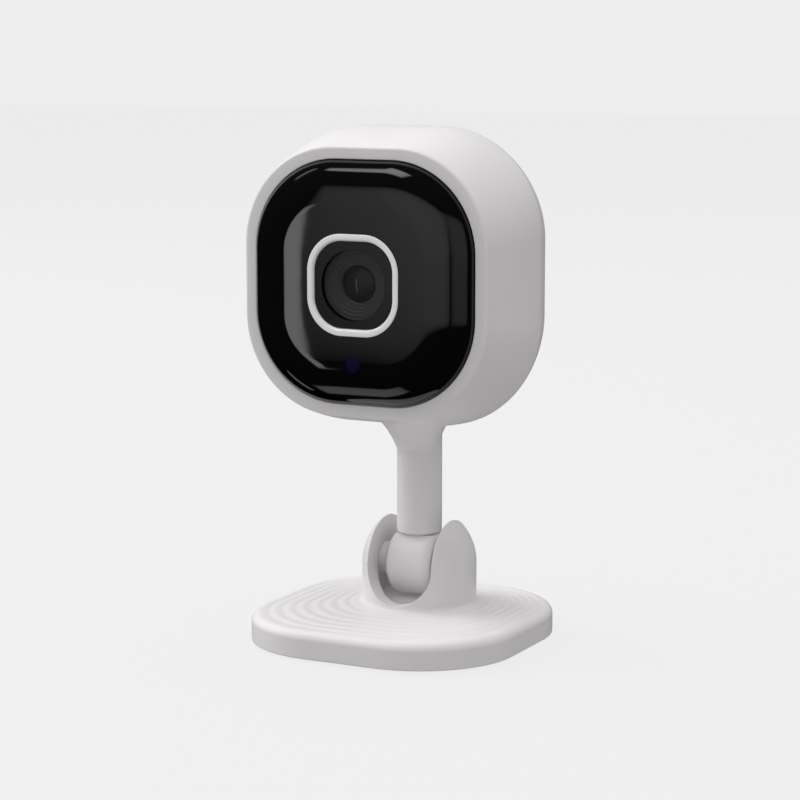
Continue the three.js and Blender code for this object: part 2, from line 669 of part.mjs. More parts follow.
function housingSolid() {
  const shell = cut(
    housingOutside(SEAM_Y),
    headStack([cavitySection(SEAM_FORWARD - 1), cavitySection(-WALL_BACK_Y)]),
    barZ(STEM_NUT_RADIUS + RUN, HEAD_FLOOR_Z, HEAD_Z),
    headSlab(PANEL_HALF + FIT, PANEL_FLAT, 2 * RIM_Y, LEDGE_Y),
    headSlab(PANEL_OPENING_HALF, PANEL_FLAT, 2 * RIM_Y, WALL_BACK_Y + 1),
  );
  const bosses = cornerBosses(WALL_BACK_Y - 0.5, MAIN_BOARD_Y - FIT, 0);
  const screwHoles = CORNERS.map(([x, z]) =>
    barY(CASE_SCREW_RADIUS + FIT / 2, MAIN_BOARD_Y - 10, MAIN_BOARD_Y + 1, x, z, 12));
  return cut(
    join(shell, ...bosses),
    barZ(STEM_THREAD_RADIUS + FIT, HEAD_Z - WIDEST_HALF - 3, HEAD_FLOOR_Z + 1),
    cardWay(-2 * WIDEST_HALF, 2 - cavityHalf(-CARD_Y), SLOT_GAP),
    ...screwHoles,
  );
}

const USB_Z = -12.8;
const BUTTON_X = -6.6;
const BUTTON_Z = -8.6;
const MIC = [-6, 11.2];
const SPEAKER = [7.3, 1.5];

// Speaker holes: one in the middle and a ring of eight round it.
function speakerHoles() {
  const holes = [barY(SPEAKER_HOLE, SEAM_Y - 1, BACK_Y + 1, ...SPEAKER, 8)];
  for (let i = 0; i < SPEAKER_COUNT; i += 1) {
    const turn = (i / SPEAKER_COUNT) * 2 * Math.PI;
    const x = SPEAKER[0] + SPEAKER_RING * Math.cos(turn);
    const z = SPEAKER[1] + SPEAKER_RING * Math.sin(turn);
    holes.push(barY(SPEAKER_HOLE, SEAM_Y - 1, BACK_Y + 1, x, z, 8));
  }
  return holes;
}

const usbBlock = (gap, y0, y1) => inBlock(
  [-USB[0] / 2 - gap, y0, USB_Z - USB[2] / 2 - gap],
  [USB[0] / 2 + gap, y1, USB_Z + USB[2] / 2 + gap],
);

function rearCover() {
  const sections = [];
  for (let step = 0; step <= 4; step += 1) {
    const turn = (step / 4) * (Math.PI / 2);
    const start = Math.asin((WIDEST_FORWARD - SEAM_FORWARD) / (WIDEST_FORWARD - BACK_FORWARD));
    const angle = start + (Math.PI / 2 - start) * (turn / (Math.PI / 2));
    const forward = WIDEST_FORWARD - (WIDEST_FORWARD - BACK_FORWARD) * Math.sin(angle);
    sections.unshift(headSection(forward - (step === 0 ? FIT : 0)));
  }
  const lipHalf = CAVITY_BACK_HALF - 2 * FIT;
  const solid = join(
    headStack(sections),
    headSlab(lipHalf, CAVITY_FLAT, SEAM_Y - COVER_LIP, SEAM_Y + 1),
  );
  const hollow = headSlab(lipHalf - LIP_WALL, CAVITY_FLAT, 0, BACK_Y - COVER_SKIN);
  const tubes = CORNERS.map(([x, z]) =>
    barY(COVER_TUBE_RADIUS, MAIN_BACK_Y + FIT, BACK_Y - COVER_SKIN + 0.5, x, z, 16));
  const screwWays = CORNERS.flatMap(([x, z]) => [
    barY(CASE_SCREW_RADIUS + 1.5 * FIT, 0, BACK_Y + 1, x, z, 12),
    barY(CASE_HEAD_RADIUS + 2 * FIT, BACK_Y - CASE_HEAD_THICK - CASE_SINK - FIT / 2, BACK_Y + 1, x, z, 16),
  ]);
  return cut(
    join(cut(solid, hollow), ...tubes),
    barZ(STEM_NUT_RADIUS + RUN, HEAD_FLOOR_Z, STEM_NUT_TOP + 1),
    ...screwWays,
    ...speakerHoles(),
    barY(MIC_HOLE, SEAM_Y - 1, BACK_Y + 1, ...MIC, 10),
    barY(BUTTON_RADIUS + RUN, SEAM_Y - 1, BACK_Y + 1, BUTTON_X, BUTTON_Z, 16),
    usbBlock(RUN, SEAM_Y - 3, BACK_Y + 1),
  );
}

function caseScrew([x, z]) {
  const seat = BACK_Y - CASE_HEAD_THICK - CASE_SINK;
  const head = barY(CASE_HEAD_RADIUS, seat, seat + CASE_HEAD_THICK, x, z, 16);
  const shank = barY(CASE_SCREW_RADIUS, MAIN_BOARD_Y - 8, seat + FIT, x, z, 12);
  const slots = [[CROSS_LONG, CROSS_HALF], [CROSS_HALF, CROSS_LONG]].map(([w, h]) =>
    inBlock([x - w, seat + CASE_HEAD_THICK - CROSS_DEEP, z - h], [x + w, BACK_Y + 1, z + h]));
  return cut(join(head, shank), ...slots);
}

// ---------------------------------------------------------------- front panel and lens
// Sections of the pillow-shaped panel: its edge stands below the rim, its middle in front.
function pillow(edgeHalf, edgeForward, proud, steps) {
  const sections = [];
  for (let step = 0; step <= steps; step += 1) {
    const turn = (step / steps) * (Math.PI / 2);
    sections.push({
      at: edgeForward + proud * Math.sin(turn) ** SWELL_POWER,
      half: edgeHalf - (edgeHalf - PLATEAU_HALF) * (1 - Math.cos(turn)) ** SWELL_POWER,
      flat: PANEL_FLAT,
    });
  }
  return sections;
}

function frontPanel() {
  const edge = RIM_FORWARD - PANEL_RECESS;
  const back = -(LEDGE_Y - GASKET_THICK);
  const outside = headStack([
    { at: back, half: PANEL_HALF, flat: PANEL_FLAT },
    ...pillow(PANEL_HALF, edge, PANEL_PROUD + PANEL_RECESS, 5),
  ]);
  const inside = headStack([
    { at: back - 1, half: PANEL_OPENING_HALF, flat: PANEL_FLAT },
    ...pillow(PANEL_OPENING_HALF, edge, PANEL_PROUD + PANEL_RECESS - PANEL_WALL, 3),
  ]);
  const sleeve = RING_HALF - RING_SLEEVE + FIT;
  return cut(
    outside,
    inside,
    headSlab(RING_HALF + FIT, RING_FLAT, 2 * PLATEAU_Y, PLATEAU_Y + RING_FLANGE, 6),
    headSlab(sleeve, RING_FLAT, 2 * PLATEAU_Y, LEDGE_Y, 6),
    barY(PIPE_RADIUS + FIT, 2 * PLATEAU_Y, LEDGE_Y, 0, -STATUS_BELOW, 16),
  );
}

const panelGasket = () => cut(
  headSlab(PANEL_HALF - FIT, PANEL_FLAT, LEDGE_Y - GASKET_THICK + FIT / 2, LEDGE_Y - FIT / 2),
  headSlab(PANEL_OPENING_HALF, PANEL_FLAT, 2 * RIM_Y, 0),
);

const RING_FRONT_Y = PLATEAU_Y - RING_PROUD;
const WINDOW_FRONT_Y = RING_FRONT_Y + WINDOW_SINK;
const WINDOW_BACK_Y = WINDOW_FRONT_Y + WINDOW_THICK;
const BARREL_FRONT_Y = WINDOW_BACK_Y + BARREL_GAP;

function lensRing() {
  const sleeve = RING_HALF - RING_SLEEVE;
  const inner = RING_HALF - RING_BAND;
  return cut(
    join(
      headSlab(RING_HALF, RING_FLAT, RING_FRONT_Y, PLATEAU_Y + RING_FLANGE - FIT, 6),
      headSlab(sleeve, RING_FLAT, RING_FRONT_Y + 2 * FIT, RING_FRONT_Y + RING_DEEP, 6),
    ),
    headSlab(inner, RING_FLAT, 2 * PLATEAU_Y, WINDOW_BACK_Y + FIT / 2, 6),
    headSlab(inner - RING_LIP, RING_FLAT, 2 * PLATEAU_Y, 0, 6),
  );
}

const lensWindow = () =>
  headSlab(RING_HALF - RING_BAND - FIT, RING_FLAT, WINDOW_FRONT_Y, WINDOW_BACK_Y, 6);

function lensBarrel() {
  const back = BARREL_FRONT_Y + BARREL_LONG;
  return cut(
    barY(BARREL_RADIUS, BARREL_FRONT_Y, back, 0, 0, 32),
    barY(ELEMENT_RADIUS + FIT, 2 * PLATEAU_Y, BARREL_FRONT_Y + ELEMENT_SEAT),
    barY(APERTURE_RADIUS, 2 * PLATEAU_Y, back + 1),
  );
}

// A glass with a domed front face.
function lensElement() {
  const profile = [new THREE.Vector2(0, 0)];
  for (let step = 0; step <= 4; step += 1) {
    const out = ELEMENT_RADIUS * (1 - step / 4);
    profile.push(new THREE.Vector2(out, ELEMENT_EDGE + ELEMENT_DOME * (1 - (out / ELEMENT_RADIUS) ** 2)));
  }
  return new THREE.LatheGeometry(profile, ROUND).rotateX(Math.PI)
    .translate(0, BARREL_FRONT_Y + ELEMENT_SEAT - FIT, HEAD_Z);
}

const HOLDER_BACK_Y = SENSOR_BOARD_Y - FIT / 2;
const LED_BOARD_Y = WALL_BACK_Y + FIT;
const HOLDER_FLANGE_Y = LED_BOARD_Y + BOARD_THICK + FIT;
const SENSOR_SCREWS = [[-7, 7], [7, -7]];

function lensHolder() {
  const room = BARREL_FRONT_Y + BARREL_LONG + FOCUS_ROOM;
  return cut(
    join(
      barY(HOLDER_RADIUS, LED_BOARD_Y - HOLDER_LEAD, HOLDER_FLANGE_Y + 1, 0, 0, 32),
      headSlab(HOLDER_FLANGE_HALF, 8, HOLDER_FLANGE_Y, HOLDER_FLANGE_Y + 1.5, 2),
      headSlab(HOLDER_HALF, 7.5, HOLDER_FLANGE_Y + 1, HOLDER_BACK_Y, 2),
    ),
    barY(BARREL_RADIUS + FIT, 2 * PLATEAU_Y, room, 0, 0, 32),
    headSlab(SENSOR_ROOM_HALF, SENSOR_ROOM_HALF - 0.5, room - 1, 0, 2),
    ...SENSOR_SCREWS.map(([x, z]) => barY(HOLDER_HOLE, HOLDER_BACK_Y - 3, 0, x, z, 10)),
  );
}

// ---------------------------------------------------------------- boards
const ledBoard = () => cut(
  headSlab(LED_BOARD_HALF, CAVITY_FLAT, LED_BOARD_Y, LED_BOARD_Y + BOARD_THICK),
  barY(HOLDER_RADIUS + FIT, 2 * RIM_Y, 0, 0, 0, 32),
  ...cornerBosses(2 * RIM_Y, 0, 3 * FIT),
);

const LED_SPOTS = [[-1, -1], [1, -1], [-1, 1], [1, 1]]
  .map(([x, z]) => [x * LED_ACROSS, z * LED_ABOVE]);

function infraredLed([x, z]) {
  const foot = LED_BOARD_Y - FIT / 2;
  const profile = [
    [0, 0], [LED_RADIUS, 0], [LED_RADIUS, LED_HIGH - LED_RADIUS * 0.6],
    [LED_RADIUS * 0.75, LED_HIGH - LED_RADIUS * 0.2], [0, LED_HIGH],
  ].map(([r, h]) => new THREE.Vector2(r, h));
  return new THREE.LatheGeometry(profile, 16).rotateX(Math.PI)
    .translate(x, foot, HEAD_Z + z);
}

const STATUS_TOP_Y = LED_BOARD_Y - STATUS_LED_HIGH;
const statusLed = () => inBlock(
  [-STATUS_LED_HALF, STATUS_TOP_Y, -STATUS_BELOW - STATUS_LED_HALF],
  [STATUS_LED_HALF, LED_BOARD_Y - FIT / 2, -STATUS_BELOW + STATUS_LED_HALF],
);
const statusPipe = () =>
  barY(PIPE_RADIUS, PLATEAU_Y, STATUS_TOP_Y - FIT, 0, -STATUS_BELOW, 16);

const imageSensor = () => inBlock(
  [-SENSOR_HALF, HOLDER_BACK_Y - SENSOR_HIGH, -SENSOR_HALF], [SENSOR_HALF, HOLDER_BACK_Y, SENSOR_HALF],
);

const sensorBoard = () => cut(
  headSlab(
    SENSOR_BOARD_HALF, SENSOR_BOARD_HALF - 1, SENSOR_BOARD_Y, SENSOR_BOARD_Y + SENSOR_BOARD_THICK, 2,
  ),
  ...SENSOR_SCREWS.map(([x, z]) => barY(HOLDER_HOLE, 2 * RIM_Y, 0, x, z, 10)),
);

function sensorScrew([x, z]) {
  const seat = SENSOR_BOARD_Y + SENSOR_BOARD_THICK + FIT / 2;
  return join(
    barY(SENSOR_SCREW_HEAD, seat, seat + SENSOR_SCREW_RADIUS, x, z, 12),
    barY(SENSOR_SCREW_RADIUS, HOLDER_BACK_Y - SENSOR_SCREW_DEEP, seat + FIT, x, z, 10),
  );
}

function mainBoard() {
  const reach = STEM_NUT_RADIUS + 1;
  return cut(
    headSlab(MAIN_BOARD_HALF, CAVITY_FLAT, MAIN_BOARD_Y, MAIN_BACK_Y),
    block([-reach, -5, HEAD_FLOOR_Z - 5], [reach, 5, STEM_NUT_TOP + 1.6]),
    ...CORNERS.map(([x, z]) => barY(CASE_SCREW_RADIUS + 2 * FIT, -5, 5, x, z, 12)),
  );
}

const SHIELD_Y = MAIN_BOARD_Y - 2 * FIT - SHIELD_HIGH;
const shield = () =>
  inBlock([-7, SHIELD_Y, -2], [7, MAIN_BOARD_Y - FIT / 2, 12]);
const batteryCell = () => {
  const back = SHIELD_Y - CELL_GAP;
  const [x, z] = [BATTERY[0] / 2, BATTERY[2] / 2];
  return inBlock([-x, back - BATTERY[1], -z], [x, back, z]);
};

// Flat cable from the sensor board down and back to the main board, below the battery.
function flexCable() {
  const start = SENSOR_BOARD_Y + SENSOR_BOARD_THICK + FIT;
  const low = -BATTERY[2] / 2 - CABLE_BELOW_CELL;
  return join(
    inBlock([-CABLE_HALF, start, low], [CABLE_HALF, start + CABLE_THICK, -SENSOR_BOARD_HALF + 2.2]),
    inBlock([-CABLE_HALF, start, low], [CABLE_HALF, MAIN_BOARD_Y - FIT, low + CABLE_THICK]),
  );
}

const antennaPatch = () => {
  const roof = cavityHalf(5) - ANTENNA_GAP;
  return inBlock([-8, -14, roof - ANTENNA_THICK], [8, -5, roof]);
};

const SOCKET_FRONT_Y = MAIN_BACK_Y + FIT / 2;
const usbSocket = () => cut(
  usbBlock(0, SOCKET_FRONT_Y, SOCKET_FRONT_Y + USB[1]),
  inBlock(
    [-USB[0] / 2 + USB_WALL, SOCKET_FRONT_Y + USB_BACK_WALL, USB_Z - USB[2] / 2 + USB_WALL],
    [USB[0] / 2 - USB_WALL, SOCKET_FRONT_Y + USB[1] + 1, USB_Z + USB[2] / 2 - USB_WALL],
  ),
);

function cardSocket() {
  const inner = CARD_OUT_X + CARD[0] + 1.2;
  const [y, z] = [CARD_Y + CARD[1] + 0.5, CARD[2] / 2 + 1];
  return cut(
    inBlock([0.6 - cavityHalf(-y), SOCKET_FRONT_Y, -z], [inner, y, z]),
    cardWay(-2 * WIDEST_HALF, CARD_OUT_X + CARD[0] + 0.3, SLOT_GAP * 0.8),
  );
}
const memoryCard = () => cardWay(CARD_OUT_X, CARD_OUT_X + CARD[0], 0);

const SWITCH_HALF = 1.75;
const SWITCH_BACK_Y = MAIN_BACK_Y + SWITCH_HIGH;
const resetSwitch = () => cut(
  inBlock(
    [BUTTON_X - SWITCH_HALF, SOCKET_FRONT_Y, BUTTON_Z - SWITCH_HALF],
    [BUTTON_X + SWITCH_HALF, SWITCH_BACK_Y, BUTTON_Z + SWITCH_HALF],
  ),
  barY(BUTTON_PIN + 2 * FIT, SWITCH_BACK_Y - SWITCH_WELL, SWITCH_BACK_Y + 1, BUTTON_X, BUTTON_Z, 12),
);

function resetButton() {
  const inside = BACK_Y - COVER_SKIN;
  const pinEnd = SWITCH_BACK_Y - SWITCH_WELL + BUTTON_TRAVEL + 2 * FIT;
  return join(
    barY(BUTTON_RADIUS, inside - 0.5, BACK_Y - BUTTON_SINK, BUTTON_X, BUTTON_Z, 16),
    barY(BUTTON_RADIUS + BUTTON_FLANGE, inside - 1, inside - FIT, BUTTON_X, BUTTON_Z, 16),
    barY(BUTTON_PIN, pinEnd, inside - 0.8, BUTTON_X, BUTTON_Z, 12),
  );
}

const microphone = () => barY(MIC_RADIUS, SOCKET_FRONT_Y, SOCKET_FRONT_Y + MIC_DEEP, ...MIC, 16);
const speakerUnit = () => {
  const face = BACK_Y - COVER_SKIN - FIT;
  return barY(SPEAKER_RADIUS, face - SPEAKER_DEEP, face, ...SPEAKER, 28);
};

// ---------------------------------------------------------------- assembly
function node(name, geometry, material) {
  const mesh = new THREE.Mesh(geometry, material);
  mesh.name = name;
  return mesh;
}
const numbered = (name, places, make, material) =>
  places.map((place, i) => node(`${name}_${i + 1}`, make(place), material));

const stand = new THREE.Group().add(
  node("stand_base", standBase(), WHITE),
  node("base_weight", standWeight(), STEEL),
  node("base_cover", standCover(), WHITE),
  node("foot_pad", padSolid(), SILICONE),
  ...numbered("base_screw", STAND_SCREWS, standScrew, STEEL),
  node("hinge_screw", hingeScrew(), STEEL),
  node("hinge_nut", hingeNut(), STEEL),
  node("friction_washer_left", frictionWasher(-1), DARK),
  node("friction_washer_right", frictionWasher(1), DARK),
);

const knuckle = new THREE.Group().add(
  node("tilt_tongue", tiltTongue(), WHITE),
  node("swivel_washer", swivelWasher(), NYLON),
  node("swivel_spring_washer", swivelSpring(), STEEL),
  node("swivel_screw", swivelScrew(), STEEL),
);

const headShell = new THREE.Group().add(
  node("stem", stemSolid(), WHITE),
  node("stem_nut", stemNut(), BRASS),
  node("housing", housingSolid(), WHITE),
  node("rear_cover", rearCover(), WHITE),
  ...numbered("rear_screw", CORNERS, caseScrew, STEEL),
  node("front_panel", frontPanel(), BLACK),
  node("panel_gasket", panelGasket(), SILICONE),
);

const optics = new THREE.Group().add(
  node("lens_ring", lensRing(), WHITE),
  node("lens_window", lensWindow(), GLASS),
  node("lens_barrel", lensBarrel(), DARK),
  node("lens_element", lensElement(), GLASS),
  node("lens_holder", lensHolder(), DARK),
  node("image_sensor", imageSensor(), DARK),
  node("sensor_board", sensorBoard(), BOARD),
  ...numbered("sensor_screw", SENSOR_SCREWS, sensorScrew, STEEL),
);

const electronics = new THREE.Group().add(
  node("led_board", ledBoard(), BOARD),
  ...numbered("infrared_led", LED_SPOTS, infraredLed, DARK),
  node("status_led", statusLed(), NYLON),
  node("status_light_pipe", statusPipe(), BLUE),
  node("main_board", mainBoard(), BOARD),
  node("processor_shield", shield(), STEEL),
  node("battery", batteryCell(), STEEL),
  node("flex_cable", flexCable(), BRASS),
  node("antenna", antennaPatch(), BRASS),
  node("usb_socket", usbSocket(), STEEL),
  node("card_socket", cardSocket(), STEEL),
  node("memory_card", memoryCard(), DARK),
  node("reset_switch", resetSwitch(), DARK),
  node("reset_button", resetButton(), WHITE),
  node("microphone", microphone(), STEEL),
  node("speaker", speakerUnit(), DARK),
);

const camera = new THREE.Group().add(stand, knuckle, headShell, optics, electronics);

export default camera;
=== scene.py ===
"""A small indoor security camera on a tilting and swivelling stand.

Sizes are in millimetres, with Z up and the front towards -Y; "forward" is the distance from the
stem's axis towards the front. Meshes are turned to metres when they are made.
"""
import math
import bpy
import numpy as np
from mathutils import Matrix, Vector


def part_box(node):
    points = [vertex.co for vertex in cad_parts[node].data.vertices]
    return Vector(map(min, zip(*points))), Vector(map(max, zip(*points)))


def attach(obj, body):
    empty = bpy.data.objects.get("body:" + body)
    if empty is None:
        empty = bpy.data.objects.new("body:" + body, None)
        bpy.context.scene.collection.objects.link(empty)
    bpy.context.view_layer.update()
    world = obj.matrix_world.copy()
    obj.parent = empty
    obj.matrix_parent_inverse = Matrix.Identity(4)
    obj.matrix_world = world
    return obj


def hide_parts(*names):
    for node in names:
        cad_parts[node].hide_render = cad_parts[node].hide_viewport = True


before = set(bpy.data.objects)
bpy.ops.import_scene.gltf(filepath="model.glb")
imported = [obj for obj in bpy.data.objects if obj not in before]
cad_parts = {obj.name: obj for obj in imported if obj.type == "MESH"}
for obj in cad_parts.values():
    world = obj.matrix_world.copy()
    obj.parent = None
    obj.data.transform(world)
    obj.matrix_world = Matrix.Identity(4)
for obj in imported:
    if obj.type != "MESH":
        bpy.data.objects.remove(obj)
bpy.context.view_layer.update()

# ---------------------------------------------------------------- camera
# A long lens a little above and to the right of the front, as in a product picture.
lens = bpy.data.cameras.new("camera")
lens.lens = 110.76
lens.sensor_width = 36
camera = bpy.data.objects.new("camera", lens)
camera.location = (0.19191, -0.38268, 0.10563)
camera.rotation_euler = Vector((-0.4504, 0.8803, -0.1492)).to_track_quat("-Z", "Y").to_euler()
bpy.context.scene.collection.objects.link(camera)
bpy.context.scene.camera = camera
bpy.context.scene.view_settings.view_transform = "Standard"

# ---------------------------------------------------------------- studio
# A pale seamless table under an even tent of light, with a large softbox above and to the left
# and strip lights that draw the highlights on the black front.


def colour(code):
    """Linear colour of an sRGB hex code."""
    parts = [int(code[i:i + 2], 16) / 255 for i in (0, 2, 4)]
    return [p / 12.92 if p <= 0.04045 else ((p + 0.055) / 1.055) ** 2.4 for p in parts] + [1]


def add(tree, kind, inputs=None, **settings):
    """Adds a node: settings are its properties, inputs its sockets' values or links."""
    node = tree.nodes.new(kind)
    for key, value in settings.items():
        setattr(node, key, value)
    for key, value in (inputs or {}).items():
        if isinstance(value, bpy.types.NodeSocket):
            tree.links.new(value, node.inputs[key])
        else:
            node.inputs[key].default_value = value
    return node


def put(points, faces, name):
    """A smooth mesh object from points in millimetres. Its faces are turned outwards, by the
    sign of the volume that they enclose."""
    points = np.asarray(points, float)
    fans = np.concatenate([
        np.stack([quad[:, 0], quad[:, i], quad[:, i + 1]], -1)
        for quad in faces for i in range(1, quad.shape[1] - 1)
    ])
    a, b, c = (points[fans[:, i]] for i in range(3))
    inside_out = np.einsum("ij,ij->i", a, np.cross(b, c)).sum() < 0
    loops = [face[::-1] if inside_out else face for group in faces for face in group.tolist()]
    mesh = bpy.data.meshes.new(name)
    mesh.from_pydata((points * 0.001).tolist(), [], loops)
    mesh.shade_smooth()
    made = bpy.data.objects.new(name, mesh)
    bpy.context.scene.collection.objects.link(made)
    return made


TABLE_REACH = 2500
TABLE_DROP = 0.02
BACKDROP_REACH = 4000
PAPER_GLOW = 0.80
PAPER_WHITE = "4a4a4b"
TENT_WALL = 0.35
TENT_ROOF = 0.9
TENT_FLOOR = 0.22


def glowing(name, base, glow, strength):
    """Paper that is lit from behind, so that shadows on it stay faint."""
    made = bpy.data.materials.new(name)
    made.use_nodes = True
    shader = made.node_tree.nodes["Principled BSDF"]
    shader.inputs["Base Color"].default_value = colour(base)
    shader.inputs["Roughness"].default_value = 1
    shader.inputs["Specular IOR Level"].default_value = 0
    shader.inputs["Emission Color"].default_value = colour(glow)
    shader.inputs["Emission Strength"].default_value = strength
    return made


def ball(radius, rows=24, around=48):
    """Points and quads of a sphere: rows of circles of radius r cos(a) at height r sin(a)."""
    rise = np.linspace(-math.pi / 2, math.pi / 2, rows)[:, None]
    turn = np.linspace(0, 2 * math.pi, around, endpoint=False)[None, :]
    level = rise + 0 * turn
    points = radius * np.stack(
        [np.cos(level) * np.cos(turn), np.cos(level) * np.sin(turn), np.sin(level)], -1)
    index = np.arange(rows * around).reshape(rows, around)
    near, far = index[:-1], index[1:]
    quads = np.stack([near, np.roll(near, -1, 1), np.roll(far, -1, 1), far], -1)
    return points.reshape(-1, 3), quads.reshape(-1, 4)


corner_signs = np.array([[-1, -1], [1, -1], [1, 1], [-1, 1]])
table = put(
    np.column_stack([corner_signs * TABLE_REACH, np.full(4, -TABLE_DROP)]),
    [np.array([[0, 1, 2, 3]])], "table")
table.data.materials.append(glowing("backlit_paper", PAPER_WHITE, "fdfcfd", PAPER_GLOW))
sky_points, sky_quads = ball(BACKDROP_REACH)
backdrop = put(sky_points, [sky_quads], "backdrop")
backdrop.data.materials.append(glowing("backdrop_paper", "000000", "eeedee", 1))
for paper in (table, backdrop):
    paper.visible_diffuse = False
    paper.visible_glossy = False
    paper.visible_transmission = False
backdrop.visible_shadow = False

tent = bpy.data.worlds.new("light_tent")
tent.use_nodes = True
tent.node_tree.nodes["Background"].inputs["Color"].default_value = colour("fffdff")
# The tent's roof and floor are brighter than its walls: its strength at height z is
# wall + roof * z^2 above, and wall + floor * min(1, 4 |z|) below.
toward = add(tent.node_tree, "ShaderNodeSeparateXYZ", {
    "Vector": add(tent.node_tree, "ShaderNodeTexCoord").outputs["Generated"]})
above = add(tent.node_tree, "ShaderNodeMath", {
    0: toward.outputs["Z"], 1: 0.0}, operation="MAXIMUM")
square = add(tent.node_tree, "ShaderNodeMath", {0: above.outputs[0], 1: 2.0}, operation="POWER")
below = add(tent.node_tree, "ShaderNodeMath", {
    0: toward.outputs["Z"], 1: -4.0}, operation="MULTIPLY", use_clamp=True)
floor_glow = add(tent.node_tree, "ShaderNodeMath", {
    0: below.outputs[0], 1: TENT_FLOOR, 2: TENT_WALL}, operation="MULTIPLY_ADD")
glow = add(tent.node_tree, "ShaderNodeMath", {
    0: square.outputs[0], 1: TENT_ROOF, 2: floor_glow.outputs[0]}, operation="MULTIPLY_ADD")
tent.node_tree.links.new(glow.outputs[0], tent.node_tree.nodes["Background"].inputs["Strength"])
tent.cycles_visibility.camera = False
tent.cycles_visibility.glossy = False
tent.cycles_visibility.transmission = False
bpy.context.scene.world = tent

HEAD_Z = 63.53
aim = Vector((0, 0, HEAD_Z * 0.001))
EDGE_FADE = 6.0
# Name, azimuth from the front towards the left and elevation in degrees, distance, width and
# height in metres, radiance, and whether it lights, shines in reflections and casts shadows.
LIGHTS = [
    ("overhead", 0, 88, 0.9, 0.8, 0.8, 1.7, True, False, False),
    ("key", 88, 26, 0.9, 0.7, 0.7, 3.6, True, False, True),
    ("left_strip", 31, -9, 0.8, 0.04, 0.34, 2.6, False, True, True),
    ("left_high", 78, 42, 0.8, 0.10, 0.25, 1.2, False, True, True),
    ("left_low", 78, -42, 0.8, 0.08, 0.25, 1.2, False, True, True),
    ("front_soft", 4, 10, 0.9, 1.0, 0.7, 0.7, False, True, True),
    ("right_soft", -50, 10, 0.9, 0.9, 0.7, 0.45, False, True, True),
    ("ceiling", 40, 61, 0.8, 0.36, 0.24, 3.6, False, True, True),
    ("low_card", 40, -53, 0.7, 0.34, 0.2, 1.0, False, True, True),
]
for name, azimuth, elevation, distance, width, height, radiance, lights, shines, shades in LIGHTS:
    panel = bpy.data.lights.new(name, "AREA")
    panel.shape = "RECTANGLE"
    panel.size = width
    panel.size_y = height
    panel.energy = radiance * math.pi * width * height
    lamp = bpy.data.objects.new(name, panel)
    sideways, up = math.radians(azimuth), math.radians(elevation)
    away = Vector((
        -math.sin(sideways) * math.cos(up), -math.cos(sideways) * math.cos(up), math.sin(up)))
    lamp.location = aim + distance * away
    lamp.rotation_euler = away.to_track_quat("Z", "Y").to_euler()
    lamp.visible_camera = False
    lamp.visible_diffuse = lights
    lamp.visible_glossy = shines
    panel.use_shadow = shades
    if shines:
        # A softbox fades towards its edges, as (1 - |2u - 1|^p)(1 - |2v - 1|^p).
        panel.use_nodes = True
        nodes = panel.node_tree
        spot = add(nodes, "ShaderNodeSeparateXYZ", {
            "Vector": add(nodes, "ShaderNodeNewGeometry").outputs["Parametric"]})
        fades = []
        for axis in ("X", "Y"):
            middle = add(nodes, "ShaderNodeMath", {0: spot.outputs[axis], 1: 2.0, 2: -1.0},
                         operation="MULTIPLY_ADD")
            size = add(nodes, "ShaderNodeMath", {0: middle.outputs[0]}, operation="ABSOLUTE")
            bent = add(nodes, "ShaderNodeMath", {0: size.outputs[0], 1: EDGE_FADE},
                       operation="POWER")
            fades.append(add(nodes, "ShaderNodeMath", {0: 1.0, 1: bent.outputs[0]},
                             operation="SUBTRACT"))
        level = add(nodes, "ShaderNodeMath", {0: fades[0].outputs[0], 1: fades[1].outputs[0]},
                    operation="MULTIPLY")
        nodes.links.new(level.outputs[0], nodes.nodes["Emission"].inputs["Strength"])
    bpy.context.scene.collection.objects.link(lamp)

# ---------------------------------------------------------------- stand base
# One moulding of white ABS: a flat rounded-square plate with fine terraced rings on top, and a
# round cup whose ears hold the knuckle. Its mould is spark eroded to a fine satin grain.
PLATE_HALF = 24.12
PLATE_FLAT = 6.68
PLATE_TOP = 5.12
PLATE_FORWARD = 6.42
PLATE_LIFT = 0.4
PLATE_EDGE = 1.5
POCKET_HALF = 21.22
POCKET_TOP = 3.47
CUP_RADIUS = 10.13
CUP_INSIDE = 7.43
CUP_FOOT = 0.9
HINGE_Z = 12.1
NOTCH_HALF = 6.2
REAR_WALL = 1.5
BOSS_RADIUS = {-1: 3.0, 1: 4.3}
BOSS_FACE = 5.2
BOSS_ROOT = 7.5
BOSS_EDGE = 0.2
EDGE_BREAK = 0.3
TERRACE_ROWS = 110
TERRACE_RUN = 13.5
TERRACE_FADE_OUT = 12
TERRACE_FADE_IN = 10
RING_PITCH = 1.9
RING_RELIEF = 0.13
SCREW_SEAT = 7.73
SCREW_RECESS = 2.85
RECESS_MOUTH = 12

AROUND = 288
TURN = np.linspace(0, 2 * math.pi, AROUND, endpoint=False)


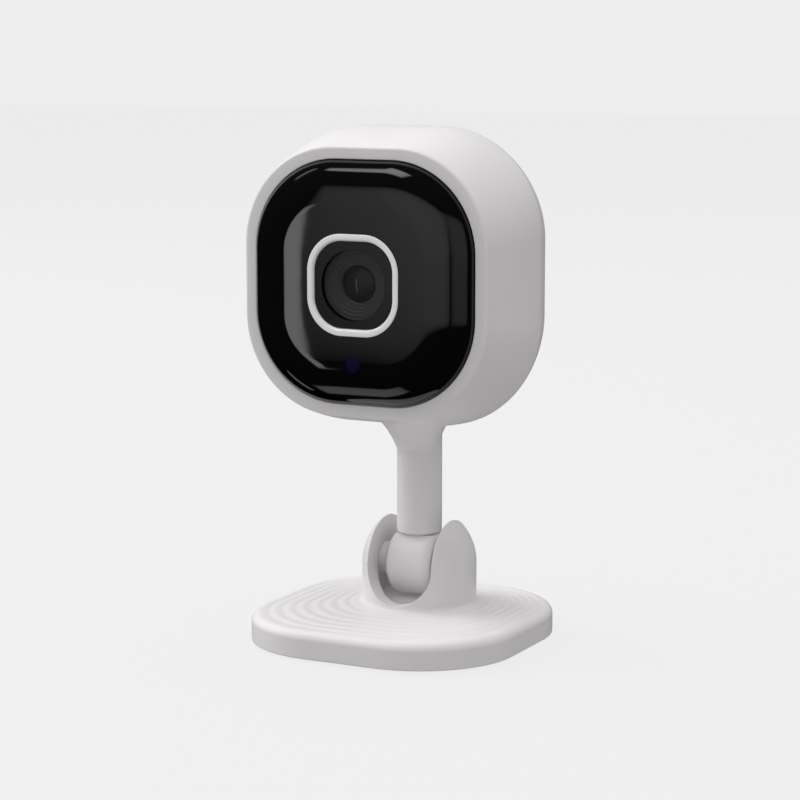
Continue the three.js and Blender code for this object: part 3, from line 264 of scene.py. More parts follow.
def sections(along, half, flat=0.0, across_at=0.0, up_at=0.0, axis="z"):
    """Rounded squares stacked along an axis, one row for each value. In direction a from the
    middle, a straight side lies at half / cos(a), and a corner, an arc of radius r = half - flat
    about (flat, flat), at flat (cos a + sin a) + sqrt(r^2 - flat^2 (1 - sin 2a)).
    flat = 0 gives circles."""
    values = (along, half, flat, across_at, up_at)
    rows = np.broadcast_arrays(*(np.asarray(v, float) for v in values))
    along, half, flat, across_at, up_at = (v.reshape(-1, 1) for v in rows)
    cosine, sine = np.cos(TURN)[None, :], np.sin(TURN)[None, :]
    long = np.maximum(abs(cosine), abs(sine))
    short = np.minimum(abs(cosine), abs(sine))
    side = half / long
    bend = np.maximum((half - flat) ** 2 - flat ** 2 * (1 - 2 * long * short), 0)
    reach = np.where(side * short <= flat, side, flat * (long + short) + np.sqrt(bend))
    across, up = across_at + reach * cosine, up_at + reach * sine
    depth = along + 0 * across
    order = {"x": (depth, across, up), "y": (across, -depth, up), "z": (across, up, depth)}[axis]
    return np.stack(order, -1)


def soften(rows, corners, radius, steps=4):
    """Rounds the rows named in corners: each gives way to a curve (1-t)^2 a + 2t(1-t) c + t^2 b
    about its corner c, from a to b, which lie radius away along the two neighbouring faces."""
    kept = []
    count = len(rows)
    t = np.linspace(0, 1, steps + 1)[:, None, None]
    for i in range(count):
        if i not in corners:
            kept.append(rows[i:i + 1])
            continue
        before, here, after = rows[i - 1], rows[i], rows[(i + 1) % count]
        ends = []
        for other in (before, after):
            way = other - here
            length = np.maximum(np.linalg.norm(way, axis=-1, keepdims=True), 1e-9)
            ends.append(here + way / length * np.minimum(radius, 0.45 * length))
        kept.append((1 - t) ** 2 * ends[0] + 2 * t * (1 - t) * here + t ** 2 * ends[1])
    return np.concatenate(kept)


def blend_rows(first, last, shares):
    """Rows between two rows, each a share of the way."""
    shares = np.asarray(shares, float)[:, None, None]
    return first * (1 - shares) + last * shares


def shell(rows, closed=False):
    """Points and faces through rows of points. A closed shell's last row meets its first;
    otherwise both ends are closed by a point in the middle of the end row."""
    count, around = rows.shape[:2]
    index = np.arange(count * around).reshape(count, around)
    near = index if closed else index[:-1]
    far = np.roll(index, -1, 0) if closed else index[1:]
    faces = [np.stack([near, np.roll(near, -1, 1), np.roll(far, -1, 1), far], -1).reshape(-1, 4)]
    points = rows.reshape(-1, 3)
    if not closed:
        middles = np.stack([rows[0].mean(0), rows[-1].mean(0)])
        first = np.stack([np.full(around, len(points)), np.roll(index[0], -1), index[0]], -1)
        last = np.stack([np.full(around, len(points) + 1), index[-1], np.roll(index[-1], -1)], -1)
        faces.append(np.concatenate([first, last]))
        points = np.concatenate([points, middles])
    return points, faces


def joined(shells, name):
    """One object that holds one or more closed shells."""
    made = None
    for points, faces in shells:
        one = put(points, faces, name)
        if made is None:
            made = one
            continue
        with bpy.context.temp_override(active_object=made, selected_editable_objects=[made, one]):
            bpy.ops.object.join()
    return made


def build(name, shells, body, finish, replaced=()):
    """A piece from one or more closed shells: put in the scene, finished and set to ride."""
    made = joined(shells, name)
    made.name = name
    made.data.materials.append(finish)
    even = made.modifiers.new("even_shading", "WEIGHTED_NORMAL")
    even.weight = 60
    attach(made, body)
    if replaced:
        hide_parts(*replaced)
    return made


def carve(piece, cutters):
    """Cuts the cutters' shells out of a piece, before its other modifiers."""
    tools = joined(cutters, "cutter")
    hole = piece.modifiers.new("holes", "BOOLEAN")
    hole.operation = "DIFFERENCE"
    hole.solver = "EXACT"
    hole.object = tools
    piece.modifiers.move(len(piece.modifiers) - 1, 0)
    bpy.context.view_layer.update()
    graph = bpy.context.evaluated_depsgraph_get()
    shading = piece.modifiers["even_shading"]
    shading.show_viewport = False
    carved = bpy.data.meshes.new_from_object(piece.evaluated_get(graph), depsgraph=graph)
    piece.modifiers.remove(piece.modifiers["holes"])
    shading.show_viewport = True
    old, piece.data = piece.data, carved
    carved.name = piece.name
    bpy.data.meshes.remove(old)
    bpy.data.objects.remove(tools)


CLOUD_MM = 12
MOTTLE = 0.03
WEAR = 0.04


def plastic(name, base, roughness, grain_mm=0.12, relief=0.012, **sockets):
    """Moulded plastic: an even colour with a faint cloudiness of the melt over 12 mm, the fine
    grain of a spark-eroded mould, and a roughness that wanders a little with handling."""
    made = bpy.data.materials.new(name)
    made.use_nodes = True
    tree = made.node_tree
    shader = tree.nodes["Principled BSDF"]
    place = add(tree, "ShaderNodeTexCoord").outputs["Object"]
    cloud = add(tree, "ShaderNodeTexNoise", {
        "Vector": place, "Scale": 1000 / CLOUD_MM, "Detail": 2})
    tone = add(tree, "ShaderNodeMix", {
        "Factor": cloud.outputs["Fac"],
        6: [c * (1 - MOTTLE) for c in colour(base)[:3]] + [1],
        7: [min(1, c * (1 + MOTTLE)) for c in colour(base)[:3]] + [1],
    }, data_type="RGBA")
    wear = add(tree, "ShaderNodeMapRange", {
        "Value": cloud.outputs["Fac"], "To Min": roughness - WEAR, "To Max": roughness + WEAR})
    grain = add(tree, "ShaderNodeTexNoise", {
        "Vector": place, "Scale": 1000 / grain_mm, "Detail": 3, "Roughness": 0.6})
    bump = add(tree, "ShaderNodeBump", {
        "Height": grain.outputs["Fac"], "Distance": relief * 0.001, "Strength": 1})
    tree.links.new(tone.outputs[2], shader.inputs["Base Color"])
    tree.links.new(wear.outputs["Result"], shader.inputs["Roughness"])
    tree.links.new(bump.outputs["Normal"], shader.inputs["Normal"])
    for key, value in sockets.items():
        shader.inputs[key.replace("_", " ")].default_value = value
    return made


white_abs = plastic("white_abs_satin", "e4e2e3", 0.42, Specular_IOR_Level=0.5)

# Azimuth from the front, positive to the right, of each line up the cup.
FROM_FRONT = (TURN + math.pi / 2 + math.pi) % (2 * math.pi) - math.pi
SIDE = np.where(FROM_FRONT < 0, -1.0, 1.0)
NOTCH_SHARE = math.radians(42.5)
EAR_SHARE = math.radians(150)


def notch_edge(radius):
    """The notches' outline on a cylinder of that radius capped by a half ball at hinge height:
    a half circle of the notch's half-width across the front, an arc over each ear in the plane
    at that half-width, and a straight edge across the back."""
    share = abs(FROM_FRONT)
    u_turn = np.clip(share / NOTCH_SHARE, 0, 1) * math.pi / 2
    front_x = NOTCH_HALF * np.sin(u_turn)
    front = np.stack([
        SIDE * front_x, -np.sqrt(radius ** 2 - front_x ** 2),
        HINGE_Z - NOTCH_HALF * np.cos(u_turn)], -1)
    ear = math.sqrt(radius ** 2 - NOTCH_HALF ** 2)
    last = math.pi - math.asin(REAR_WALL / ear)
    arc = np.clip((share - NOTCH_SHARE) / (EAR_SHARE - NOTCH_SHARE), 0, 1) * last
    over = np.stack([
        SIDE * NOTCH_HALF, -ear * np.cos(arc), HINGE_Z + ear * np.sin(arc)], -1)
    back_x = NOTCH_HALF * np.clip((math.pi - share) / (math.pi - EAR_SHARE), 0, 1)
    back = np.stack([
        SIDE * back_x, np.sqrt(radius ** 2 - REAR_WALL ** 2 - back_x ** 2),
        np.full(AROUND, HINGE_Z + REAR_WALL)], -1)
    which = np.where(share <= NOTCH_SHARE, 0, np.where(share < EAR_SHARE - 1e-6, 1, 2))
    return np.choose(which[:, None], [front, over, back])


def cup_wall(radius, foot_z, shares):
    """Rows from a circle at foot_z up to the notches' outline. Azimuth and the length up the
    wall change evenly, so every point lies on the cylinder or on the half ball over it."""
    edge = notch_edge(radius)
    azimuth = np.arctan2(edge[:, 0], -edge[:, 1])
    rise = edge[:, 2] - HINGE_Z
    up = np.where(rise > 0, radius * np.arcsin(np.clip(rise / radius, 0, 1)), rise)
    shares = np.asarray(shares, float)[:, None]
    turned = (azimuth - FROM_FRONT + math.pi) % (2 * math.pi) - math.pi
    azimuth = FROM_FRONT + shares * turned
    up = (foot_z - HINGE_Z) * (1 - shares) + up * shares
    lean = np.maximum(up, 0) / radius
    out = radius * np.cos(lean)
    height = HINGE_Z + np.minimum(up, 0) + radius * np.sin(lean)
    return np.stack([out * np.sin(azimuth), -out * np.cos(azimuth), height], -1)


def plate_rows(z, half):
    return sections(z, half, PLATE_FLAT, up_at=-PLATE_FORWARD)


edge_turn = np.linspace(0, math.pi / 2, 9)
plate_outside = np.concatenate([
    plate_rows([POCKET_TOP, PLATE_LIFT, PLATE_LIFT], [POCKET_HALF, POCKET_HALF, PLATE_HALF]),
    plate_rows(
        PLATE_TOP - PLATE_EDGE * (1 - np.sin(edge_turn)),
        PLATE_HALF - PLATE_EDGE * (1 - np.cos(edge_turn))),
])
foot = sections(PLATE_TOP, CUP_RADIUS + CUP_FOOT)[0]
across_plate = np.linspace(0, 1, TERRACE_ROWS)
plate_top = blend_rows(plate_outside[-1], foot, across_plate)
# The terraces run round the cup and fade out before the plate's edge and the cup's foot.
from_foot = (1 - across_plate)[:, None] * np.full(AROUND, TERRACE_RUN)
fade = (np.clip(across_plate * TERRACE_FADE_OUT, 0, 1)
        * np.clip((1 - across_plate) * TERRACE_FADE_IN, 0, 1))
plate_top[:, :, 2] -= RING_RELIEF * fade[:, None] * (
    0.5 - 0.5 * np.cos(2 * math.pi * from_foot / RING_PITCH))
foot_turn = np.linspace(0, math.pi / 2, 7)[1:]
fillet = sections(
    PLATE_TOP + CUP_FOOT * (1 - np.cos(foot_turn)),
    CUP_RADIUS + CUP_FOOT * (1 - np.sin(foot_turn)))
cup_outside = cup_wall(CUP_RADIUS, PLATE_TOP + CUP_FOOT, np.linspace(0, 1, 20)[1:])
cup_top = [notch_edge(CUP_INSIDE)]
cup_floor = HINGE_Z - NOTCH_HALF
cup_inside = cup_wall(CUP_INSIDE, cup_floor, np.linspace(1, 0, 12)[1:])
floor_rows = sections([cup_floor, cup_floor], [CUP_INSIDE * 0.6, CUP_INSIDE * 0.2])
base_rows = np.concatenate(
    [plate_outside, plate_top[1:], fillet, cup_outside, cup_top, cup_inside, floor_rows])
rim_row = len(plate_outside) + len(plate_top) - 1 + len(fillet) + len(cup_outside) - 1
base_rows = soften(base_rows, {1, 2, rim_row, rim_row + 1}, EDGE_BREAK)


def disc(x0, x1, radius, edge, axis="x", up_at=0.0, steps=6):
    """Rows of a round disc along an axis, with each edge a quarter circle of radius edge."""
    turn = np.linspace(0, math.pi / 2, steps + 1)
    rise, inset = edge * (1 - np.cos(turn)), edge * (1 - np.sin(turn))
    along = np.concatenate([x0 + rise, (x1 - rise)[::-1]])
    out = radius - np.concatenate([inset, inset[::-1]])
    return sections(along, out, 0, 0, up_at, axis)


ear_bosses = [
    shell(disc(
        side * BOSS_FACE, side * BOSS_ROOT, BOSS_RADIUS[side], side * BOSS_EDGE, up_at=HINGE_Z))
    for side in (-1, 1)
]
stand_base = build(
    "stand_moulding", [shell(base_rows)], "stand", white_abs, ["stand_base"])
carve(stand_base, [shell(disc(-RECESS_MOUTH, -SCREW_SEAT, SCREW_RECESS, 0.01, up_at=HINGE_Z))])
build("ear_bosses", ear_bosses, "stand", white_abs)


def bare(name, base, roughness, metallic=0.0, **sockets):
    """A material with only its shader's own values; patterns are added by the caller."""
    made = bpy.data.materials.new(name)
    made.use_nodes = True
    shader = made.node_tree.nodes["Principled BSDF"]
    shader.inputs["Base Color"].default_value = colour(base)
    shader.inputs["Roughness"].default_value = roughness
    shader.inputs["Metallic"].default_value = metallic
    for key, value in sockets.items():
        shader.inputs[key.replace("_", " ")].default_value = value
    return made


def textured(made, scale_mm, relief_mm, stretch=(1, 1, 1), spread=0.0):
    """Adds a bump of that grain size and depth, stretched along an axis for brushed or drawn
    surfaces, and a roughness that varies with it by spread."""
    tree = made.node_tree
    shader = tree.nodes["Principled BSDF"]
    place = add(tree, "ShaderNodeTexCoord").outputs["Object"]
    along = add(tree, "ShaderNodeMapping", {"Vector": place, "Scale": stretch})
    height = add(tree, "ShaderNodeTexNoise", {
        "Vector": along.outputs["Vector"], "Scale": 1000 / scale_mm, "Detail": 3}).outputs["Fac"]
    bump = add(tree, "ShaderNodeBump", {
        "Height": height, "Distance": relief_mm * 0.001, "Strength": 1})
    tree.links.new(bump.outputs["Normal"], shader.inputs["Normal"])
    if spread:
        level = shader.inputs["Roughness"].default_value
        vary = add(tree, "ShaderNodeMapRange", {
            "Value": height, "To Min": level - spread, "To Max": level + spread})
        tree.links.new(vary.outputs["Result"], shader.inputs["Roughness"])
    return made


def dress(finish, *names):
    """Gives carried-over CAD nodes their finish."""
    for name in names:
        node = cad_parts[name]
        node.data.materials.clear()
        node.data.materials.append(finish)


# ---------------------------------------------------------------- under the stand
# A die-cut silicone pad is stuck over an ABS cover, which three steel screws hold against the
# zinc-plated weight in the plate's pocket.
PAD_HALF = 21.02
PAD_THICK = 0.9
PAD_EDGE = 0.25
silicone = textured(bare("grey_silicone", "3a3a3c", 0.75), 0.5, 0.02, spread=0.08)
plated_steel = textured(bare("zinc_plated_steel", "b4b6ba", 0.3, 1), 0.25, 0.004, spread=0.08)
pad_rows = plate_rows([0, PAD_THICK], [PAD_HALF, PAD_HALF])
build("foot_pad_sheet", [shell(soften(pad_rows, {0, 1}, PAD_EDGE))],
      "stand", silicone, ["foot_pad"])
dress(white_abs, "base_cover")
dress(plated_steel, "base_weight", "base_screw_1", "base_screw_2", "base_screw_3")

# ---------------------------------------------------------------- hinge hardware
# A steel socket screw clamps the ears on the tongue through two black acetal washers, into a
# nut that sits in the right ear.
black_acetal = textured(bare("black_acetal", "1b1b1e", 0.45), 0.3, 0.01, spread=0.05)
turned_steel = textured(
    bare("turned_steel", "a8aaad", 0.28, 1), 0.12, 0.003, stretch=(1, 0.1, 0.1), spread=0.06)
WASHER_INNER = 1.6
WASHER_NEAR = 4.45
WASHER_FAR = 5.15
WASHER_EDGE = 0.12
SHANK_RADIUS = 1.5
SHANK_END = -6.3
HEAD_UNDERSIDE = -7.78
HEAD_TOP = -9.53
HEAD_EDGE = 0.25
SCREW_HEAD = 2.75
SOCKET_FLATS = 2.0
SOCKET_FLOOR = -8.43


def washer(x0, x1, outer, inner):
    """A flat ring about the hinge axis, its four edges rounded."""
    rows = sections([x0, x0, x1, x1], [inner, outer, outer, inner], 0, 0, HINGE_Z, "x")
    return shell(soften(rows, {0, 1, 2, 3}, WASHER_EDGE), closed=True)


for side, word in ((-1, "left"), (1, "right")):
    ring = washer(side * WASHER_NEAR, side * WASHER_FAR, BOSS_RADIUS[side], WASHER_INNER)
    build(f"{word}_washer", [ring], "stand", black_acetal,
          [f"friction_washer_{word}"])


def socket_screw():
    """A button head with a six-sided socket: circles for the head, then hexagons of reach
    r / cos(angle from the nearest flat) going in."""
    sixth = (TURN + math.pi / 6) % (math.pi / 3) - math.pi / 6
    hexagon = (SOCKET_FLATS / 2) / np.cos(sixth)
    rows = sections(
        [SHANK_END, HEAD_UNDERSIDE, HEAD_UNDERSIDE, HEAD_TOP, HEAD_TOP],
        [SHANK_RADIUS, SHANK_RADIUS, SCREW_HEAD, SCREW_HEAD, SHANK_RADIUS], 0, 0, HINGE_Z, "x")
    socket = sections([HEAD_TOP, SOCKET_FLOOR], [1, 1], 0, 0, HINGE_Z, "x")
    socket[:, :, 1] *= hexagon
    socket[:, :, 2] = HINGE_Z + (socket[:, :, 2] - HINGE_Z) * hexagon
    rows = np.concatenate([rows[:-1], socket])
    return shell(soften(rows, {3, 4}, HEAD_EDGE))


build("hinge_socket_screw", [socket_screw()], "stand", turned_steel, ["hinge_screw"])
dress(turned_steel, "hinge_nut")

# ---------------------------------------------------------------- knuckle
# A white ABS tongue, a rounded disc between the ears with a short neck and a spigot that goes
# up into the stem; a screw and washers in the stem let it swivel.
TONGUE_RADIUS = 5.8
TONGUE_HALF = 4.3
TONGUE_EDGE = 1.5
NECK_RADIUS = 3.18
NECK_TOP = 17.35
SPIGOT_RADIUS = 2.0
SPIGOT_TOP = 24.05
EDGE_STEPS = 10
tongue_rows = disc(
    -TONGUE_HALF, TONGUE_HALF, TONGUE_RADIUS, TONGUE_EDGE, up_at=HINGE_Z, steps=EDGE_STEPS)
left_edge, right_edge = tongue_rows[:EDGE_STEPS + 1], tongue_rows[EDGE_STEPS + 1:]
tongue_rows = np.concatenate([
    left_edge, blend_rows(left_edge[-1], right_edge[0], np.linspace(0, 1, 20)[1:-1]), right_edge])
# The disc is planed flat where the stem's collar turns on it.
tongue_rows[:, :, 2] = np.minimum(tongue_rows[:, :, 2], NECK_TOP)
neck_rows = sections(
    [HINGE_Z + 2, NECK_TOP, NECK_TOP, SPIGOT_TOP],
    [NECK_RADIUS, NECK_RADIUS, SPIGOT_RADIUS, SPIGOT_RADIUS])
build("tongue", [shell(tongue_rows)], "knuckle", white_abs, ["tilt_tongue"])
build("tongue_spigot", [shell(soften(neck_rows, {3}, EDGE_BREAK))],
      "knuckle", white_abs)
nylon = textured(bare("natural_nylon", "d8d6cf", 0.5), 0.4, 0.01, spread=0.05)
dress(nylon, "swivel_washer")
dress(turned_steel, "swivel_spring_washer", "swivel_screw")

# ---------------------------------------------------------------- head outline
# The head is square with round corners; it swells from the rim to its widest section and then
# tapers to a smaller rounded back.
RIM_FORWARD = 21.09
RIM_HALF = 22.27
RIM_FLAT = 5.9
RIM_EDGE = 0.6
WIDEST_FORWARD = 5.9
WIDEST_HALF = 25.64
WIDEST_FLAT = 7.26
BACK_FORWARD = -10.0
BACK_HALF = 17.45
BACK_FLAT = 5.29
SEAM_FORWARD = -5.5
HEAD_RISE = 0.2
CAVITY_HALF = 21.4
CAVITY_BACK_HALF = 19.5
CAVITY_FLAT = 4.9
FRONT_POWER = 1.63
BACK_POWER = 1.29


def head_half(forward):
    """Half-width of the head: in front of the widest section it shrinks by a power of 1.63 of
    the distance; behind, by the curve a^1.29 + b^1.29 = 1 of distance a and width b."""
    rim_start = RIM_FORWARD - RIM_EDGE
    ahead = np.clip((forward - WIDEST_FORWARD) / (rim_start - WIDEST_FORWARD), 0, None)
    behind = np.clip((WIDEST_FORWARD - forward) / (WIDEST_FORWARD - BACK_FORWARD), 0, 1)
    front = WIDEST_HALF - (WIDEST_HALF - RIM_HALF - RIM_EDGE) * ahead ** FRONT_POWER
    drawn_in = (1 - behind ** BACK_POWER) ** (1 / BACK_POWER)
    back = BACK_HALF + (WIDEST_HALF - BACK_HALF) * drawn_in
    return np.where(forward > WIDEST_FORWARD, front, back)


def head_shape(forward):
    """Half-width, straight part and rise of the head's section at a distance forward."""
    forward = np.asarray(forward, float)
    ahead = np.clip((forward - WIDEST_FORWARD) / (RIM_FORWARD - WIDEST_FORWARD), 0, 1)
    behind = np.clip((WIDEST_FORWARD - forward) / (WIDEST_FORWARD - BACK_FORWARD), 0, 1)
    flat = WIDEST_FLAT + (RIM_FLAT - WIDEST_FLAT) * ahead + (BACK_FLAT - WIDEST_FLAT) * behind
    return head_half(forward), flat, HEAD_RISE * (1 - ahead)


def head_rows(forward):
    half, flat, rise = head_shape(forward)
    return sections(forward, half, flat, 0, HEAD_Z + rise, "y")


def front_rows(forward, half, flat):
    """Rounded squares round the head's axis, for what lies in the front of the head."""
    return sections(forward, half, flat, 0, HEAD_Z, "y")


def underside(x, y):
    """Height of the head's underside over a point beside the stem."""
    half, flat, rise = head_shape(-y)
    beside = np.clip(abs(x) - flat, 0, None)
    return HEAD_Z + rise - flat - np.sqrt((half - flat) ** 2 - beside ** 2)


# ---------------------------------------------------------------- stem
# A white ABS tube that turns on the tongue's spigot and flares out under the head, where its
# threaded end is held in the housing by a brass nut.
STEM_RADIUS = 3.98
COLLAR_Z = 17.65
STEM_BORE = 2.3
FLARE_REACH = 4.6
FLARE_HIGH = 6.0
FLARE_POWER = 0.6
SINK = 0.05
THREAD_RADIUS = 3.65
THREAD_TOP = 46
flare_turn = np.linspace(0, math.pi / 2, 25)[:, None]
flare_out = STEM_RADIUS + FLARE_REACH * (1 - np.cos(flare_turn)) ** FLARE_POWER
ring_x, ring_y = np.cos(TURN)[None, :], np.sin(TURN)[None, :]
reach = STEM_RADIUS + FLARE_REACH
seat = underside(reach * ring_x, reach * ring_y) + SINK
flare_rows = np.stack([
    flare_out * ring_x, flare_out * ring_y, seat - FLARE_HIGH * (1 - np.sin(flare_turn))], -1)
lower = sections([COLLAR_Z, COLLAR_Z], [STEM_BORE, STEM_RADIUS])
straight = blend_rows(lower[1], flare_rows[0], np.linspace(0, 1, 16)[1:-1])
stem_top = underside(0.0, 0.0) + SINK
thread = sections([stem_top, THREAD_TOP, THREAD_TOP], [THREAD_RADIUS, THREAD_RADIUS, STEM_BORE])
stem_rows = np.concatenate([lower, straight, flare_rows, thread])
build("stem_tube", [shell(soften(stem_rows, {0, 1}, EDGE_BREAK), closed=True)],
      "head", white_abs, ["stem"])
brass = textured(
    bare("turned_brass", "b89a55", 0.32, 1), 0.12, 0.003, stretch=(0.1, 0.1, 1), spread=0.05)
dress(brass, "stem_nut")

# ---------------------------------------------------------------- housing
# One white ABS moulding, the same satin finish as the stand: a flat rim round the front, a
# softly swelling side wall, and a slot for the memory card in its left wall.
PANEL_SEAT = 2.1
FRONT_WALL = 1.5
PANEL_OPENING = 18.9
PANEL_HALF = 20.54
PANEL_FLAT = 5.2
PANEL_GAP = 0.1
SEAM_EDGE = 0.18
CARD_Y = 2.1
CARD_SIZE = (15, 0.9, 11)
SLOT_GAP = 0.25
WALL_ROWS = 60
rim_turn = np.linspace(math.pi / 2, 0, 10)
ledge = RIM_FORWARD - PANEL_SEAT
wall_back = ledge - FRONT_WALL
housing_rows = np.concatenate([
    front_rows([wall_back, ledge, ledge],
               [PANEL_OPENING, PANEL_OPENING, PANEL_HALF + PANEL_GAP], PANEL_FLAT),
    front_rows(RIM_FORWARD, PANEL_HALF + PANEL_GAP, PANEL_FLAT),
    front_rows(RIM_FORWARD - RIM_EDGE * (1 - np.sin(rim_turn)),
               RIM_HALF + RIM_EDGE * np.cos(rim_turn), RIM_FLAT),
    head_rows(np.linspace(RIM_FORWARD - RIM_EDGE, SEAM_FORWARD, WALL_ROWS)[1:]),
    front_rows([SEAM_FORWARD, wall_back], [CAVITY_BACK_HALF, CAVITY_HALF], CAVITY_FLAT),
])
rim_inner = 3
seam_outer = rim_inner + len(rim_turn) + WALL_ROWS - 1
housing_rows = soften(housing_rows, {rim_inner, seam_outer}, SEAM_EDGE)
housing = build("head_housing", [shell(housing_rows, closed=True)],
                "head", white_abs, ["housing"])


def spread_ends(turned, by):
    """The step that carries the two halves of a circle apart, each by that much."""
    return np.clip(turned * 99, -1, 1) * by


def slab(x, y, z, corner):
    """A block between x, y and z pairs whose outline in Y and Z has corners of that radius."""
    middle_y, middle_z = sum(y) / 2, sum(z) / 2
    half_y, half_z = (y[1] - y[0]) / 2, (z[1] - z[0]) / 2
    way_y, way_z = np.cos(TURN), np.sin(TURN)
    across = middle_y + spread_ends(way_y, half_y - corner) + corner * way_y
    up = middle_z + spread_ends(way_z, half_z - corner) + corner * way_z
    return np.stack([np.stack([np.full(AROUND, at), across, up], -1) for at in x])


slot_way = slab(
    (-30, -15), (CARD_Y - SLOT_GAP, CARD_Y + CARD_SIZE[1] + SLOT_GAP),
    (HEAD_Z - CARD_SIZE[2] / 2 - SLOT_GAP, HEAD_Z + CARD_SIZE[2] / 2 + SLOT_GAP), 0.4)
carve(housing, [shell(slot_way)])

# ---------------------------------------------------------------- front panel
# A pillow of clear acrylic, black on its back face, polished to a mirror. It stands proud of
# the rim and lies in it on a thin black gasket.
PANEL_RECESS = 0.18
PANEL_PROUD = 3.9
PANEL_WALL = 1.6
PANEL_LIFT = 0.3
PANEL_POWER = 0.9
PLATEAU_HALF = 13.0
RING_HALF = 8.52
RING_FLAT = 2.15
RING_LAP = 0.4
CROWN = 0.3


def pillow(turn, edge_half, proud):
    """The panel's swelling edge: turn goes from 0 at the edge to a right angle on the plateau;
    it rises by sin^0.9 and draws in by (1 - cos)^0.9."""
    rise = proud * np.sin(turn) ** PANEL_POWER
    half = edge_half - (edge_half - PLATEAU_HALF) * (1 - np.cos(turn)) ** PANEL_POWER
    return RIM_FORWARD - PANEL_RECESS + rise, half


plateau = RIM_FORWARD + PANEL_PROUD
swell = np.linspace(0, math.pi / 2, 48)
outer_forward, outer_half = pillow(swell, PANEL_HALF, PANEL_PROUD + PANEL_RECESS)
inner_forward, inner_half = pillow(
    swell[::6], PANEL_OPENING, PANEL_PROUD + PANEL_RECESS - PANEL_WALL)
middle = np.linspace(PLATEAU_HALF, RING_HALF - RING_LAP, 14)[1:]
panel_half = np.concatenate([outer_half, middle])
panel_forward = np.concatenate([outer_forward, np.full(len(middle), plateau)])
# The middle is slightly crowned, by the square of the distance out.
panel_forward -= CROWN * np.clip((panel_half - RING_HALF) / (PANEL_HALF - RING_HALF), 0, 1) ** 2
panel_flat = PANEL_FLAT + (RING_FLAT - PANEL_FLAT) * np.clip(
    (PLATEAU_HALF - panel_half) / (PLATEAU_HALF - RING_HALF), 0, 1)
panel_rows = np.concatenate([
    front_rows(ledge + PANEL_LIFT, PANEL_HALF, PANEL_FLAT),
    front_rows(panel_forward, panel_half, panel_flat),
    front_rows(plateau - PANEL_WALL, RING_HALF - RING_LAP, RING_FLAT),
    front_rows(inner_forward[::-1], inner_half[::-1], PANEL_FLAT),
    front_rows(ledge + PANEL_LIFT, PANEL_OPENING, PANEL_FLAT),
])
black_acrylic = bare("black_backed_acrylic", "0c0e0c", 0.035, IOR=1.49)
textured(black_acrylic, 6, 0.004, spread=0.01)
build("black_front", [shell(panel_rows, closed=True)],
      "head", black_acrylic, ["front_panel"])
dress(black_acetal, "panel_gasket")

# A clear blue rod carries the status light to the panel's face, which it meets flush.
PIPE_RADIUS = 1.35
PIPE_EDGE = 0.05
PIPE_BACK = 17
PIPE_PROUD = 0.02
STATUS_BELOW = 13.27
blue_acrylic = bare("clear_blue_acrylic", "02022c", 0.3, IOR=1.2)
textured(blue_acrylic, 1.5, 0.003, spread=0.02)
pipe_rows = disc(PIPE_BACK, plateau + PIPE_PROUD, PIPE_RADIUS, PIPE_EDGE,
                 axis="y", up_at=HEAD_Z - STATUS_BELOW)
build("status_lens", [shell(pipe_rows)], "head", blue_acrylic, ["status_light_pipe"])

# ---------------------------------------------------------------- lens
# A satin white ring frames a window of black-masked glass; behind its clear round middle sits
# an anodised barrel with fine baffle rings and a domed glass.
RING_BAND = 1.2
RING_FRONT = plateau + 0.15
RING_DEEP = 2.1
RING_SLOPE = 0.25
RING_EDGE = 0.22
WINDOW_FRONT = RING_FRONT - 0.35
WINDOW_THICK = 0.8
WINDOW_GAP = 0.1
WINDOW_EDGE = 0.08
WINDOW_TINT = 0.12
CLEAR_RADIUS = 6.0
MASK_SOFTNESS = 0.1
BARREL_RADIUS = 6.0
BARREL_LONG = 12.5
BARREL_LIP = 0.25
BARREL_EDGE = 0.1
BARREL_BEHIND = 0.35
BAFFLE_WIDTH = 0.62
BAFFLE_DROP = 0.22
BAFFLE_SINK = 0.15
IRIS_RADIUS = 3.15
DOME_RADIUS = IRIS_RADIUS - 0.05
DOME_SINK = 1.6
DOME_HIGH = 0.75
DOME_BACK = 2.6
ring_satin = plastic("white_ring_satin", "f4f4f5", 0.25, grain_mm=0.2, relief=0.004)
ring_inner = RING_HALF - RING_BAND
ring_rows = front_rows(
    [RING_FRONT - RING_DEEP, RING_FRONT - RING_DEEP, RING_FRONT, RING_FRONT,
     WINDOW_FRONT - WINDOW_GAP],
    [ring_inner, RING_HALF, RING_HALF, ring_inner + RING_SLOPE, ring_inner], RING_FLAT)
ring_rows = soften(ring_rows, {2, 3}, RING_EDGE, steps=6)
build("lens_trim", [shell(ring_rows, closed=True)],
      "head", ring_satin, ["lens_ring"])

window_glass = bare("masked_window_glass", "000000", 0.02, IOR=1.5)
glass_tree = window_glass.node_tree
glass_place = add(glass_tree, "ShaderNodeTexCoord").outputs["Object"]
from_axis = add(glass_tree, "ShaderNodeMapping", {
    "Vector": glass_place, "Location": (0, 0, -HEAD_Z * 0.001), "Scale": (1, 0, 1)})
distance = add(glass_tree, "ShaderNodeVectorMath", {
    0: from_axis.outputs["Vector"]}, operation="LENGTH")
clear = add(glass_tree, "ShaderNodeMapRange", {
    "Value": distance.outputs["Value"],
    "From Min": (CLEAR_RADIUS - MASK_SOFTNESS) * 0.001, "From Max": CLEAR_RADIUS * 0.001,
    "To Min": WINDOW_TINT, "To Max": 1.0})
glass_shader = glass_tree.nodes["Principled BSDF"]
glass_tree.links.new(clear.outputs["Result"], glass_shader.inputs["Alpha"])
window_rows = front_rows(
    [WINDOW_FRONT - WINDOW_THICK, WINDOW_FRONT - WINDOW_THICK, WINDOW_FRONT, WINDOW_FRONT],
    [1, ring_inner - WINDOW_GAP, ring_inner - WINDOW_GAP, 1],
    RING_FLAT * np.array([0.1, 1, 1, 0.1]))
